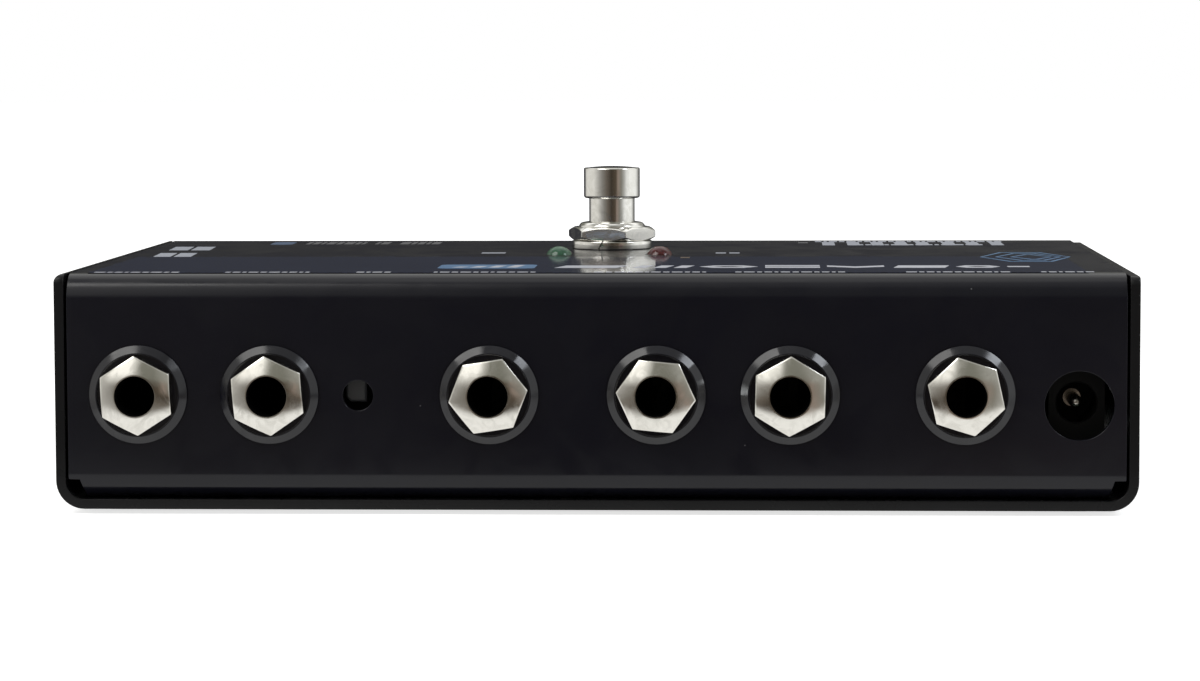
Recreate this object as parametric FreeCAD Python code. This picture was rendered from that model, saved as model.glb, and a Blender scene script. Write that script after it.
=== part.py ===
import FreeCAD, Part
import math
import os

from FreeCAD import Vector

# A foot-operated amp switcher: a low sheet-steel box with six quarter-inch jacks, a recessed lift
# switch and a power inlet on one long side, and a footswitch and two LEDs on top.
# All sizes are in millimetres. +Z is up, the jack panel faces -Y and the row of jacks runs along +X.
# The origin is on the surface that the pad rests on, below the middle of the box.

# Places along the jack panel, from the left side of the box to its right side
left_side_to_jack_1 = 13.6
jack_1_to_jack_2 = 21.2
jack_2_to_lift = 14.25
lift_to_jack_3 = 21.15
jack_3_to_jack_4 = 26.8
jack_4_to_jack_5 = 21.4
jack_5_to_jack_6 = 27.9
jack_6_to_inlet = 18.15
inlet_to_right_side = 9.55

# Places behind the jack panel
panel_to_footswitch = 81.0
footswitch_to_rear = 33.0
footswitch_to_leds = 20.4
footswitch_to_middle = 0.35          # towards the first jack
led_half_spacing = 8.85

# Heights above the shell's underside
box_height = 38.0
jack_axis_height = 18.6
lift_hole_height = 18.45
inlet_axis_height = 16.9
board_top_height = 10.4

# Sheet-metal parts
shell_sheet = 1.6
shell_bend_radius = 4.6
shell_rim_rounds = (1.4, 0.35)     # the left wall's, and the right wall's
shell_wall_drops = (0.0, 0.4)        # how far below the cover's top each wall's rim is, left and right
shell_corner_rounds = (1.5, 4.2)     # of each wall's upper corners, at the jacks and at the far side
cover_sheet = 1.5
cover_bend_radius = 4.2
cover_side_gap = 0.45
flange_depth = 16.0
notch_gap = 0.15
notch_slant = 0.9
notch_height = 3.2

# Pad under the shell
pad_thickness = 0.8
pad_side_margin = 0.8
pad_end_inset = 6.5
pad_corner_radius = 3.0

# Screws through the shell's floor, and the clinch nuts in the cover's flanges
screw_from_side = 21.0
screw_from_face = 11.5
screw_diameter = 3.0
screw_length = 7.0
screw_head_diameter = 5.6
screw_slot_length = 3.0
screw_slot_width = 0.7
screw_slot_depth = 0.9
clinch_nut_diameter = 6.2
clinch_nut_height = 2.0
clinch_shank_diameter = 4.4

# Jacks
plug_bore_diameter = 6.5
plug_length = 30.5
plug_groove_from_end = 4.5
plug_end_room = 1.4
nose_diameter = 9.0
nose_thread_gap = 0.1
panel_hole_gap = 0.2
washer_diameter = 15.9
washer_edge = 0.45
washer_rim_height = 1.45
washer_rim_width = 0.2
washer_bevel_width = 1.2
washer_seat = 0.8
jack_nut_across_flats = 11.15
jack_nut_height = 3.35
jack_nut_corner_height = 2.15
jack_nut_dome = 0.135
jack_nut_lip = 1.0
jack_nut_turns = (32.8, 34.9, 8.8, 54.5, 28.6, 42.6)
jack_body_width = 16.0
jack_body_rise = 6.75
jack_front_wall = 3.0
jack_side_wall = 2.5
jack_roof = 1.55
jack_rear_wall = 1.2

# Contacts in each jack
strip_thickness = 0.4
strip_width = 3.0
sleeve_ring_gap = 0.2
sleeve_ring_wall = 0.85
sleeve_ring_length = 3.0
sleeve_leg_width = 2.4
tip_spring_dip = 2.62
tip_spring_spread = 2.2
rest_leg_width = 1.2

# Power inlet
inlet_hole_diameter = 11.1
inlet_recess = 6.0
inlet_width = 9.0
inlet_depth = 14.0
inlet_rise = 5.5
inlet_socket_diameter = 6.5
inlet_socket_depth = 10.0
inlet_mouth_bevel = 0.2
inlet_pin_diameter = 2.1
inlet_pin_recess = 0.4
inlet_rivet_diameter = 2.9
inlet_rivet_height = 0.5
inlet_leg_width = 2.2

# Lift switch
lift_hole_diameter = 4.9
lift_travel = 1.8
button_width = 3.3
button_height = 4.0
button_above_hole = 0.75
button_left_of_hole = 0.55
button_recess = 3.0
button_edge_bevel = 0.3
button_corner_bevel = 0.7
lift_body_recess = 6.5
lift_body_width = 8.6
lift_body_rise = 4.6
lift_body_wall = 1.2
carriage_length = 4.0
carriage_step = 1.0
lift_spring_diameter = 3.0
lift_spring_wire = 0.4
lift_spring_turns = 4
lift_spring_pressed = 4.24
lift_pin_spacing = 4.0
lift_pin_half_span = 2.5
lift_pin_diameter = 0.8

# Footswitch
footswitch_travel = 3.0
bushing_diameter = 12.0
bushing_bore_diameter = 8.4
bushing_shoulder = 0.95
bushing_shoulder_width = 1.65
bushing_thread_below = 0.8
bushing_plate_thickness = 1.0
lock_washer_diameter = 14.5
lock_washer_thickness = 1.5
lock_washer_slit = 0.25
lock_washer_slit_turn = -104.7
lock_washer_slit_slant = 25.0
nut_across_flats = 14.0
top_nut_thickness = 2.5
top_nut_turn = -10.0
lower_nut_thickness = 2.2
nut_bevel = 0.75
cap_diameter = 10.15
cap_height = 5.8
cap_above_bushing = 4.2
cap_crown = 0.3
cap_top_round = 0.5
cap_lower_round = 0.8
neck_diameter = 8.26
housing_width = 17.0
housing_wall = 1.8
housing_top_wall = 1.2
stem_hole_gap = 0.4
carrier_width = 11.0
carrier_height = 3.0
carrier_stop_gap = 0.05
stem_diameter = 4.0
stem_reach = 0.15
base_thickness = 1.6
lug_width = 2.0
lug_thickness = 0.5
lug_length = 6.6
lug_inner_reach = 0.5
lug_column_margin = 3.7
lug_row_margin = 4.3
footswitch_spring_diameter = 8.0
footswitch_spring_wire = 0.7
footswitch_spring_turns = 5
footswitch_spring_pressed = 4.75

# LEDs
led_diameter = 5.0
led_hole_gap = 0.1
led_rise = 1.42
led_length = 8.6
led_flange_diameter = 5.8
led_flange_thickness = 1.0
led_lead_diameter = 0.5
led_lead_half_spacing = 1.27
spacer_diameter = 5.0
spacer_hole_gap = 0.15

# Circuit board and the parts on it
board_thickness = 1.6
board_side_gap = 3.0
board_front_gap = 1.0
board_behind_leds = 10.4
lead_gap = 0.1
lead_drop = 2.0
part_row_gap = 2.5
relay_size = (19.0, 15.5, 15.0)
relay_pin_diameter = 0.9
relay_pin_inset = 2.5
core_size = (20.0, 8.0, 16.7)
core_leg_width = 6.6
core_yoke = 3.3
winding_depth = 15.0
winding_gap = 0.1
capacitor_sizes = ((8.0, 12.0), (8.0, 12.0), (10.0, 16.0))
capacitor_gap = 2.0
capacitor_lead_half_spacing = 1.75
capacitor_groove = 0.4
chip_size = (9.8, 6.4, 3.3)
chip_lift = 0.5
chip_pins_per_side = 4
chip_pin_spacing = 2.54
chip_pin_half_span = 3.81
chip_pin_width = 0.5
regulator_size = (10.0, 3.2, 9.0)
regulator_tab_thickness = 1.3
regulator_tab_rise = 6.5
regulator_tab_hole = 3.6
regulator_standoff = 3.0
regulator_lead_width = 0.8
resistor_body = (2.4, 6.5)
resistor_span = 10.16
resistor_wire = 0.6
resistor_wire_bend = 0.8
resistor_lift = 0.3
resistor_spacing = 4.2
resistor_count = 7
header_pins = 3
header_pin_spacing = 2.54
header_depth = 5.8
header_height = 7.0
header_pin_width = 0.64
wire_diameter = 1.3

# Places worked out from the sizes
box_width = (left_side_to_jack_1 + jack_1_to_jack_2 + jack_2_to_lift + lift_to_jack_3 + jack_3_to_jack_4
             + jack_4_to_jack_5 + jack_5_to_jack_6 + jack_6_to_inlet + inlet_to_right_side)
box_depth = panel_to_footswitch + footswitch_to_rear
half_width = box_width / 2
panel_face = -box_depth / 2
rear_face = box_depth / 2
underside = pad_thickness
rim = underside + box_height
floor_top = underside + shell_sheet
board_top = underside + board_top_height
board_bottom = board_top - board_thickness
lead_end = board_bottom - lead_drop
cover_half_width = half_width - shell_sheet - cover_side_gap
footswitch_x = -footswitch_to_middle
footswitch_y = panel_face + panel_to_footswitch
led_y = footswitch_y - footswitch_to_leds
board_rear = led_y + board_behind_leds
slide_gap = 0.06             # round a part that slides in a square hole
contact_gap = 0.05           # round a part that is held still in a hole
lug_spacing = housing_width / 2 - lug_column_margin
lug_row_half_span = housing_width / 2 - lug_row_margin

jack_1_x = -half_width + left_side_to_jack_1
jack_2_x = jack_1_x + jack_1_to_jack_2
lift_x = jack_2_x + jack_2_to_lift
jack_3_x = lift_x + lift_to_jack_3
jack_4_x = jack_3_x + jack_3_to_jack_4
jack_5_x = jack_4_x + jack_4_to_jack_5
jack_6_x = jack_5_x + jack_5_to_jack_6
inlet_x = jack_6_x + jack_6_to_inlet
jack_places = (jack_1_x, jack_2_x, jack_3_x, jack_4_x, jack_5_x, jack_6_x)
jack_z = underside + jack_axis_height
lift_z = underside + lift_hole_height
inlet_z = underside + inlet_axis_height
jack_nut_top = washer_seat + jack_nut_height
jack_body_depth = plug_length - jack_nut_top - cover_sheet + plug_end_room + jack_rear_wall
part_row_front = panel_face + cover_sheet + jack_body_depth + part_row_gap

beyond = 1.0                 # how far a cutting tool runs past what it cuts
along_x = Vector(1, 0, 0)
along_y = Vector(0, 1, 0)
along_z = Vector(0, 0, 1)


# Shapes that several pieces use

def block(x, y, z):
    """A box from its low and high sides along each axis."""
    return Part.makeBox(x[1] - x[0], y[1] - y[0], z[1] - z[0], Vector(x[0], y[0], z[0]))


def centred_block(size, bottom, x=0.0, y=0.0):
    """A box of a size, centred in plan, standing at a height."""
    wide, deep, tall = size
    return block((x - wide / 2, x + wide / 2), (y - deep / 2, y + deep / 2), (bottom, bottom + tall))


def rod(diameter, z, x=0.0, y=0.0):
    """A round bar along Z between two heights."""
    return Part.makeCylinder(diameter / 2, z[1] - z[0], Vector(x, y, z[0]))


def tube(outer, inner, z):
    """A round tube along Z between two heights."""
    return rod(outer, z).cut(rod(inner, (z[0] - beyond, z[1] + beyond)))


def prism(corners, along):
    """A straight prism from the corners of its end face."""
    return Part.Face(Part.makePolygon(corners + corners[:1])).extrude(along)


def hexagon(across_flats, z, turn=0.0):
    """A hexagonal bar along Z, its first corner turned from +X."""
    radius = across_flats / math.sqrt(3)
    angles = [math.radians(turn + 60 * corner) for corner in range(6)]
    corners = [Vector(radius * math.cos(angle), radius * math.sin(angle), z[0]) for angle in angles]
    return prism(corners, along_z * (z[1] - z[0]))


def turned(start, *steps):
    """A solid turned about Z. A step is the next (radius, height), or an arc's middle and end."""
    def point(place):
        return Vector(place[0], 0, place[1])

    edges = []
    here = start
    for step in steps + (start,):
        if isinstance(step[0], tuple):
            middle, end = step
            edges.append(Part.Arc(point(here), point(middle), point(end)).toShape())
        else:
            end = step
            edges.append(Part.LineSegment(point(here), point(end)).toShape())
        here = end
    return Part.Face(Part.Wire(edges)).revolve(Vector(), along_z, 360)


def strip(path, thickness, x):
    """A bent strip of sheet. Its path gives (height, reach) pairs in the YZ plane, and x its two sides."""
    spine = Part.makePolygon([Vector(x[0], height, reach) for height, reach in path])
    edge = spine.makeOffset2D(thickness / 2, 0, False, False)
    return Part.Face(edge).extrude(along_x * (x[1] - x[0]))


def edges_of_face(solid, height):
    """The edges of a solid that lie at one height."""
    return [edge for edge in solid.Edges if all(abs(end.Point.z - height) < 0.001 for end in edge.Vertexes)]


def edges_along(solid, direction, wanted=lambda middle: True):
    """The straight edges of a solid that run in a direction and whose middles are wanted."""
    found = []
    for edge in solid.Edges:
        straight = isinstance(edge.Curve, Part.Line)
        if straight and abs(edge.Curve.Direction.dot(direction)) > 0.999 and wanted(edge.CenterOfMass):
            found.append(edge)
    return found


def arc_from(start, heading, end):
    """The arc that leaves start along heading and ends at end."""
    chord = end - start
    aside = heading - chord * (heading.dot(chord) / chord.dot(chord))
    if aside.Length < 1e-7:
        return Part.LineSegment(start, end).toShape()
    aside.normalize()
    half_turn = chord.getAngle(heading) / 2
    middle = start + chord * 0.5 + aside * (chord.Length / 2 * math.tan(half_turn))
    return Part.Arc(start, middle, end).toShape()


def two_arcs(start, heading, end, end_heading):
    """Two arcs in smooth line that leave start along heading and reach end along end_heading."""
    span = end - start
    both = heading + end_heading
    spread = 2 * (1 - heading.dot(end_heading))
    across = span.dot(both)
    reach = (math.sqrt(across * across + spread * span.dot(span)) - across) / spread
    joint = (start + heading * reach + end - end_heading * reach) * 0.5
    second = arc_from(end, end_heading * -1, joint)
    return [arc_from(start, heading, joint), second]


def coil_spring(outer, wire, turns, z):
    """A round-wire spring about Z, standing between two heights, made of half turns."""
    radius = (outer - wire) / 2
    pitch = (z[1] - z[0] - wire) / turns
    slope = pitch / (2 * math.pi)

    def place(angle):
        return Vector(radius * math.cos(angle), radius * math.sin(angle), z[0] + wire / 2 + slope * angle)

    def heading(angle):
        return Vector(-radius * math.sin(angle), radius * math.cos(angle), slope).normalize()

    edges = []
    for half in range(2 * turns):
        low, high = math.pi * half, math.pi * (half + 1)
        edges += two_arcs(place(low), heading(low), place(high), heading(high))
    path = Part.Wire(Part.__sortEdges__(edges))
    section = Part.Wire(Part.makeCircle(wire / 2, place(0), heading(0)))
    print("spring of", outer, "mm: gap between turns", round(pitch - wire, 2), "mm")
    return path.makePipeShell([section], True, False)


def routed_wire(points, diameter, widest_bend=math.inf):
    """A round wire along straight runs joined by tangent arcs, each as wide as its runs or a limit allow."""
    edges = []
    here = points[0]
    for before, corner, after in zip(points, points[1:], points[2:]):
        run_in = corner - before
        run_out = after - corner
        limit = widest_bend * math.tan(run_in.getAngle(run_out) / 2)
        cut_back = min(0.45 * run_in.Length, 0.45 * run_out.Length, limit)
        arc_start = corner - run_in.normalize() * cut_back
        arc_end = corner + run_out.normalize() * cut_back
        edges.append(Part.LineSegment(here, arc_start).toShape())
        edges.append(arc_from(arc_start, run_in, arc_end))
        here = arc_end
    edges.append(Part.LineSegment(here, points[-1]).toShape())
    section = Part.Wire(Part.makeCircle(diameter / 2, points[0], points[1] - points[0]))
    return Part.Wire(edges).makePipeShell([section], True, False)


def on_panel(shape, x, z):
    """Put a shape that points out along +Z on the jack panel's outer face, with its +Y up."""
    placed = shape.copy()
    placed.rotate(Vector(), along_x, 90)
    placed.translate(Vector(x, panel_face, z))
    return placed


def on_top(shape, x, y):
    """Put a shape whose heights are measured from the cover's top face at its place on it."""
    placed = shape.copy()
    placed.translate(Vector(x, y, rim))
    return placed


def lead(x, y, wide, deep, top):
    """A flat lead that stands in the board, from a height above it to its end below."""
    return centred_block((wide, deep, top - lead_end), lead_end, x, y)


def save(name, *solids):
    """Write one sub-part, which is one solid or a group of like ones."""
    shape = solids[0] if len(solids) == 1 else Part.makeCompound(list(solids))
    for solid in shape.Solids:
        if not solid.isValid() or solid.Volume <= 0:
            print("check this piece:", name)
    shape.exportStep(os.path.join("parts", name + ".step"))


# Enclosure

screw_x = half_width - screw_from_side
screw_y = box_depth / 2 - screw_from_face
screw_places = [(x, y) for x in (-screw_x, screw_x) for y in (-screw_y, screw_y)]
countersink_depth = (screw_head_diameter - screw_diameter) / 2
screw_gap = 0.05
pad_hole_gap = 0.4


def cover_blank(inset, half):
    """The rounded box that the cover's sheet wraps, its faces drawn in by an inset."""
    y = (panel_face + inset, rear_face - inset)
    blank = block((-half, half), y, (floor_top + inset, rim - inset))
    return blank.makeFillet(cover_bend_radius - inset, edges_along(blank, along_x))


def flange_notch(side):
    """What is cut from the cover's lower corners at one side, to clear the shell's bends."""
    foot = cover_half_width - (shell_bend_radius - shell_sheet - cover_side_gap + notch_gap)
    head = foot + notch_slant
    top = floor_top + notch_height
    past = cover_half_width + beyond
    outline = ((past, floor_top - beyond), (foot, floor_top - beyond), (foot, floor_top), (head, top), (past, top))
    corners = [Vector(side * x, panel_face - beyond, z) for x, z in outline]
    return prism(corners, along_y * (box_depth + 2 * beyond))


def top_cover():
    """The C-shaped cover: top, jack panel, rear panel and two flanges turned in at the bottom."""
    inside = cover_blank(cover_sheet, cover_half_width + beyond)
    cover = cover_blank(0, cover_half_width).cut(inside)
    between = (panel_face + flange_depth, rear_face - flange_depth)
    across = (-cover_half_width - beyond, cover_half_width + beyond)
    tools = [block(across, between, (floor_top - beyond, floor_top + cover_sheet + beyond))]
    tools += [flange_notch(side) for side in (-1, 1)]
    through = (-cover_sheet - beyond, beyond)
    tools += [on_panel(rod(nose_diameter + 2 * panel_hole_gap, through), x, jack_z) for x in jack_places]
    tools.append(on_panel(rod(lift_hole_diameter, through), lift_x, lift_z))
    tools.append(on_panel(rod(inlet_hole_diameter, through), inlet_x, inlet_z))
    tools.append(on_top(rod(bushing_diameter + 2 * panel_hole_gap, through), footswitch_x, footswitch_y))
    led_hole = rod(led_diameter + 2 * led_hole_gap, through)
    tools += [on_top(led_hole, x, led_y) for x in (-led_half_spacing, led_half_spacing)]
    flange_z = (floor_top - beyond, floor_top + cover_sheet + beyond)
    tools += [rod(clinch_shank_diameter + 2 * screw_gap, flange_z, x, y) for x, y in screw_places]
    return cover.cut(tools).removeSplitter()


def screw_seat(gap):
    """A countersunk screw's outline below the floor's top, grown by a gap, head down at height 0."""
    head = screw_head_diameter / 2 + gap
    shank = screw_diameter / 2 + gap
    return turned((0, 0), (head, 0), (shank, countersink_depth), (shank, screw_length), (0, screw_length))


def wall_corner(x, top, side, rounding):
    """What is cut from a wall's upper corner at one end, to round it as seen from the side."""
    end = side * box_depth / 2
    centre = end - side * rounding
    y = sorted((centre, end + side * beyond))
    corner = block(x, y, (top - rounding, rim + beyond))
    start = Vector(x[0] - beyond, centre, top - rounding)
    return corner.cut(Part.makeCylinder(rounding, x[1] - x[0] + 2 * beyond, start, along_x))


def base_shell():
    """The U-shaped shell: the floor and the two side walls."""
    ends = (panel_face, rear_face)
    outside = block((-half_width, half_width), ends, (underside, rim))
    low = edges_along(outside, along_y, lambda middle: middle.z < underside + beyond)
    outside = outside.makeFillet(shell_bend_radius, low)
    inner_half = half_width - shell_sheet
    past_ends = (panel_face - beyond, rear_face + beyond)
    inside = block((-inner_half, inner_half), past_ends, (floor_top, rim + beyond))
    low = edges_along(inside, along_y, lambda middle: middle.z < floor_top + beyond)
    inside = inside.makeFillet(shell_bend_radius - shell_sheet, low)
    shell = outside.cut(inside)

    for side, rounding, drop in zip((-1, 1), shell_rim_rounds, shell_wall_drops):
        def outer_rim(middle):
            return middle.z > wall_top - 0.01 and side * middle.x > half_width - 0.01

        wall_top = rim - drop
        wall_x = sorted((side * (inner_half - beyond), side * (half_width + beyond)))
        if drop > 0:
            shell = shell.cut(block(wall_x, past_ends, (wall_top, rim + beyond)))
        shell = shell.makeFillet(min(rounding, 0.9 * shell_sheet), edges_along(shell, along_y, outer_rim))
        corners = zip((-1, 1), shell_corner_rounds)
        shell = shell.cut([wall_corner(wall_x, wall_top, end, corner) for end, corner in corners])
    holes = []
    for x, y in screw_places:
        hole = screw_seat(screw_gap)
        hole.translate(Vector(x, y, underside))
        holes.append(hole)
    return shell.cut(holes)


def base_pad():
    """The thin pad under the floor, with a hole at each screw."""
    half = half_width - shell_bend_radius - pad_side_margin
    pad = block((-half, half), (panel_face + pad_end_inset, rear_face - pad_end_inset), (0, pad_thickness))
    pad = pad.makeFillet(pad_corner_radius, edges_along(pad, along_z))
    width = screw_head_diameter + 2 * pad_hole_gap
    return pad.cut([rod(width, (-beyond, pad_thickness + beyond), x, y) for x, y in screw_places])


def cover_screw(x, y):
    """One countersunk screw with a cross-shaped slot in its head."""
    screw = screw_seat(0)
    arm = (screw_slot_length, screw_slot_width, screw_slot_depth + beyond)
    crossing = (screw_slot_width, screw_slot_length, screw_slot_depth + beyond)
    screw = screw.cut([centred_block(arm, -beyond), centred_block(crossing, -beyond)])
    screw.translate(Vector(x, y, underside))
    return screw


def clinch_nut(x, y):
    """One clinch nut: its shank fills the flange's hole and its body stands on the flange."""
    flange_top = floor_top + cover_sheet
    nut = rod(clinch_nut_diameter, (flange_top, flange_top + clinch_nut_height))
    nut = nut.fuse(rod(clinch_shank_diameter, (floor_top, flange_top)))
    nut = nut.cut(rod(screw_diameter + 2 * screw_gap, (floor_top - beyond, flange_top + clinch_nut_height + beyond)))
    nut.translate(Vector(x, y, 0))
    return nut


def make_enclosure():
    """Cover, shell, pad and what holds them together."""
    save("top_cover", top_cover())
    save("base_shell", base_shell())
    save("base_pad", base_pad())
    save("cover_screws", *[cover_screw(x, y) for x, y in screw_places])
    save("clinch_nuts", *[clinch_nut(x, y) for x, y in screw_places])


# Jacks, each drawn about its axis, with heights measured outwards from the panel's outer face

jack_drop = jack_axis_height - board_top_height
jack_nut_corner_radius = jack_nut_across_flats / math.sqrt(3)
nose_reach = jack_nut_top - jack_nut_lip - nose_thread_gap
cavity_front = -cover_sheet - jack_front_wall
cavity_rear = -cover_sheet - jack_body_depth + jack_rear_wall
cavity_half_width = jack_body_width / 2 - jack_side_wall
cavity_roof = jack_body_rise - jack_roof
leg_foot = lead_end - jack_z
tip_leg_reach = (jack_nut_top - plug_length + cavity_rear) / 2
tip_reach = jack_nut_top - plug_length + plug_groove_from_end
sleeve_leg_reach = cavity_front - sleeve_ring_length / 2
rest_reach = tip_reach + tip_spring_spread
rest_leg_x = cavity_half_width - rest_leg_width
spring_shoulder = cavity_roof - 2 * strip_thickness


def jack_washer():
    """The black washer: a flat seat for the nut inside a raised rim with a sloping outside."""
    hole = nose_diameter / 2 + nose_thread_gap
    outer = washer_diameter / 2
    rim_outer = outer - washer_bevel_width
    rim_inner = rim_outer - washer_rim_width
    return turned((hole, 0), (outer, 0), (outer, washer_edge), (rim_outer, washer_rim_height),
                  (rim_inner, washer_rim_height), (rim_inner, washer_seat), (hole, washer_seat))


def jack_nut(turn):
    """The hexagon nut, whose domed face closes in round the plug's bore."""
    bore = plug_bore_diameter / 2
    corner = jack_nut_corner_radius
    corner_top = washer_seat + jack_nut_corner_height
    fall = jack_nut_top - corner_top
    reach = corner - bore
    slope = math.hypot(fall, reach)
    middle = ((bore + corner) / 2 + jack_nut_dome * fall / slope,
              (jack_nut_top + corner_top) / 2 + jack_nut_dome * reach / slope)
    thread = nose_diameter / 2 + nose_thread_gap
    lip = jack_nut_top - jack_nut_lip
    dome = turned((thread, washer_seat), (corner, washer_seat), (corner, corner_top),
                  (middle, (bore, jack_nut_top)), (bore, lip), (thread, lip))
    return dome.common(hexagon(jack_nut_across_flats, (washer_seat, jack_nut_top), turn))


def jack_body():
    """The moulded body behind the panel, open below, with the threaded nose that goes through it."""
    half = jack_body_width / 2
    rear = -cover_sheet - jack_body_depth
    body = block((-half, half), (-jack_drop, jack_body_rise), (rear, -cover_sheet))
    body = body.fuse(rod(nose_diameter, (-cover_sheet - beyond, nose_reach)))
    cavity = block((-cavity_half_width, cavity_half_width), (-jack_drop - beyond, cavity_roof),
                   (cavity_rear, cavity_front))
    bore = rod(plug_bore_diameter, (cavity_front - beyond, nose_reach + beyond))
    return body.cut([cavity, bore])


def jack_sleeve():
    """The ring that meets the plug's sleeve, and its leg down into the board."""
    inner = plug_bore_diameter + 2 * sleeve_ring_gap
    front = cavity_front - contact_gap
    ring = tube(inner + 2 * sleeve_ring_wall, inner, (front - sleeve_ring_length, front))
    half = sleeve_leg_width / 2
    top = -(inner / 2 + sleeve_ring_wall / 2)
    reach = (sleeve_leg_reach - strip_thickness / 2, sleeve_leg_reach + strip_thickness / 2)
    return ring.fuse(block((-half, half), (leg_foot, top), reach))


def jack_tip_spring():
    """The sprung strip whose dip drops into the groove of the plug's tip."""
    path = [(leg_foot, tip_leg_reach), (spring_shoulder, tip_leg_reach),
            (spring_shoulder, tip_reach - tip_spring_spread), (tip_spring_dip, tip_reach),
            (spring_shoulder, rest_reach)]
    return strip(path, strip_thickness, (-strip_width / 2, strip_width / 2))


def jack_rest_contact():
    """The fixed contact above the tip spring's end, on a leg beside the plug's way."""
    low = spring_shoulder + strip_thickness / 2 + contact_gap
    reach = (rest_reach - strip_width / 4, rest_reach + strip_width / 4)
    tongue = block((-strip_width / 2, rest_leg_x + rest_leg_width), (low, low + strip_thickness), reach)
    leg_reach = (rest_reach - strip_thickness / 2, rest_reach + strip_thickness / 2)
    leg = block((rest_leg_x, rest_leg_x + rest_leg_width), (leg_foot, low + strip_thickness), leg_reach)
    return tongue.fuse(leg)


def jack_leads(x):
    """Where one jack's three legs cross the board: centre and size in plan."""
    rest_centre = x + rest_leg_x + rest_leg_width / 2
    return [(x, panel_face - sleeve_leg_reach, sleeve_leg_width, strip_thickness),
            (x, panel_face - tip_leg_reach, strip_width, strip_thickness),
            (rest_centre, panel_face - rest_reach, rest_leg_width, strip_thickness)]


def make_jacks():
    """Six jacks, each in four sub-parts."""
    leads = []
    contacts = (jack_sleeve(), jack_tip_spring(), jack_rest_contact())
    for number, (x, turn) in enumerate(zip(jack_places, jack_nut_turns), start=1):
        name = "jack_" + str(number)
        save(name + "_washer", on_panel(jack_washer(), x, jack_z))
        save(name + "_nut", on_panel(jack_nut(turn), x, jack_z))
        save(name + "_body", on_panel(jack_body(), x, jack_z))
        save(name + "_contacts", *[on_panel(contact, x, jack_z) for contact in contacts])
        leads += jack_leads(x)
    return leads


# Power inlet, drawn as the jacks are

inlet_drop = inlet_axis_height - board_top_height
inlet_rear = -inlet_recess - inlet_depth
inlet_foot = lead_end - inlet_z
inlet_socket_floor = -inlet_recess - inlet_socket_depth
inlet_contact_leg_reach = inlet_socket_floor - inlet_leg_width / 2
inlet_contact_height = -inlet_socket_diameter / 2 - 2 * strip_thickness


def inlet_body():
    """The moulded inlet: a round socket, and a slot below it for the spring contact."""
    half = inlet_width / 2
    front = -inlet_recess
    body = block((-half, half), (-inlet_drop, inlet_rise), (inlet_rear, front))
    radius = inlet_socket_diameter / 2
    mouth = radius + inlet_mouth_bevel
    socket = turned((0, inlet_socket_floor), (radius, inlet_socket_floor), (radius, front - inlet_mouth_bevel),
                    (mouth, front), (mouth, front + beyond), (0, front + beyond))
    pin_hole = rod(inlet_pin_diameter + 2 * contact_gap, (inlet_rear - beyond, inlet_socket_floor + beyond))
    slot_half = inlet_leg_width / 2 + contact_gap
    slot_reach = (inlet_contact_leg_reach - strip_thickness, front - inlet_pin_diameter)
    slot = block((-slot_half, slot_half), (-inlet_drop - beyond, -radius / 2), slot_reach)
    return body.cut([socket, pin_hole, slot])


def inlet_pin():
    """The centre pin, its rivet head at the socket's floor and its leg behind the body."""
    radius = inlet_pin_diameter / 2
    tip = -inlet_recess - inlet_pin_recess
    rivet = inlet_rivet_diameter / 2
    rivet_top = inlet_socket_floor + inlet_rivet_height
    quarter = radius * math.sqrt(0.5)
    pin = turned((0, inlet_rear), (radius, inlet_rear), (radius, inlet_socket_floor), (rivet, inlet_socket_floor),
                 (rivet, rivet_top), (radius, rivet_top), (radius, tip - radius),
                 ((quarter, tip - radius + quarter), (0, tip)))
    half = inlet_leg_width / 2
    leg = block((-half, half), (inlet_foot, radius), (inlet_rear - strip_thickness, inlet_rear))
    return pin.fuse(leg)


def inlet_contact():
    """The spring contact under the socket, with its bend towards the plug."""
    low = inlet_contact_height
    high = low + strip_thickness / 2
    front = -inlet_recess - inlet_pin_diameter - strip_thickness
    path = [(inlet_foot, inlet_contact_leg_reach), (low, inlet_contact_leg_reach),
            (low, (inlet_contact_leg_reach + front) / 2), (high, front - inlet_leg_width), (low, front)]
    return strip(path, strip_thickness, (-inlet_leg_width / 2, inlet_leg_width / 2))


def make_inlet():
    """The power inlet in three sub-parts."""
    save("inlet_body", on_panel(inlet_body(), inlet_x, inlet_z))
    save("inlet_pin", on_panel(inlet_pin(), inlet_x, inlet_z))
    save("inlet_contact", on_panel(inlet_contact(), inlet_x, inlet_z))
    rear_leg_y = panel_face - inlet_rear + strip_thickness / 2
    return [(inlet_x, rear_leg_y, inlet_leg_width, strip_thickness),
            (inlet_x, panel_face - inlet_contact_leg_reach, inlet_leg_width, strip_thickness)]


# Lift switch, drawn as the jacks are, about the middle of its button

button_z = lift_z + button_above_hole
lift_drop = button_z - board_top
lift_front = -lift_body_recess
lift_room = slide_gap + carriage_length + lift_travel + lift_spring_pressed
lift_cavity = (lift_front - lift_body_wall - lift_room, lift_front - lift_body_wall)
lift_rear = lift_cavity[0] - lift_body_wall
carriage_half_width = button_width / 2 + carriage_step
carriage_half_height = button_height / 2 + carriage_step
carriage_front = lift_cavity[1] - slide_gap
carriage_rear = carriage_front - carriage_length
button_length = -button_recess - carriage_front
button_x = lift_x - button_left_of_hole


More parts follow.
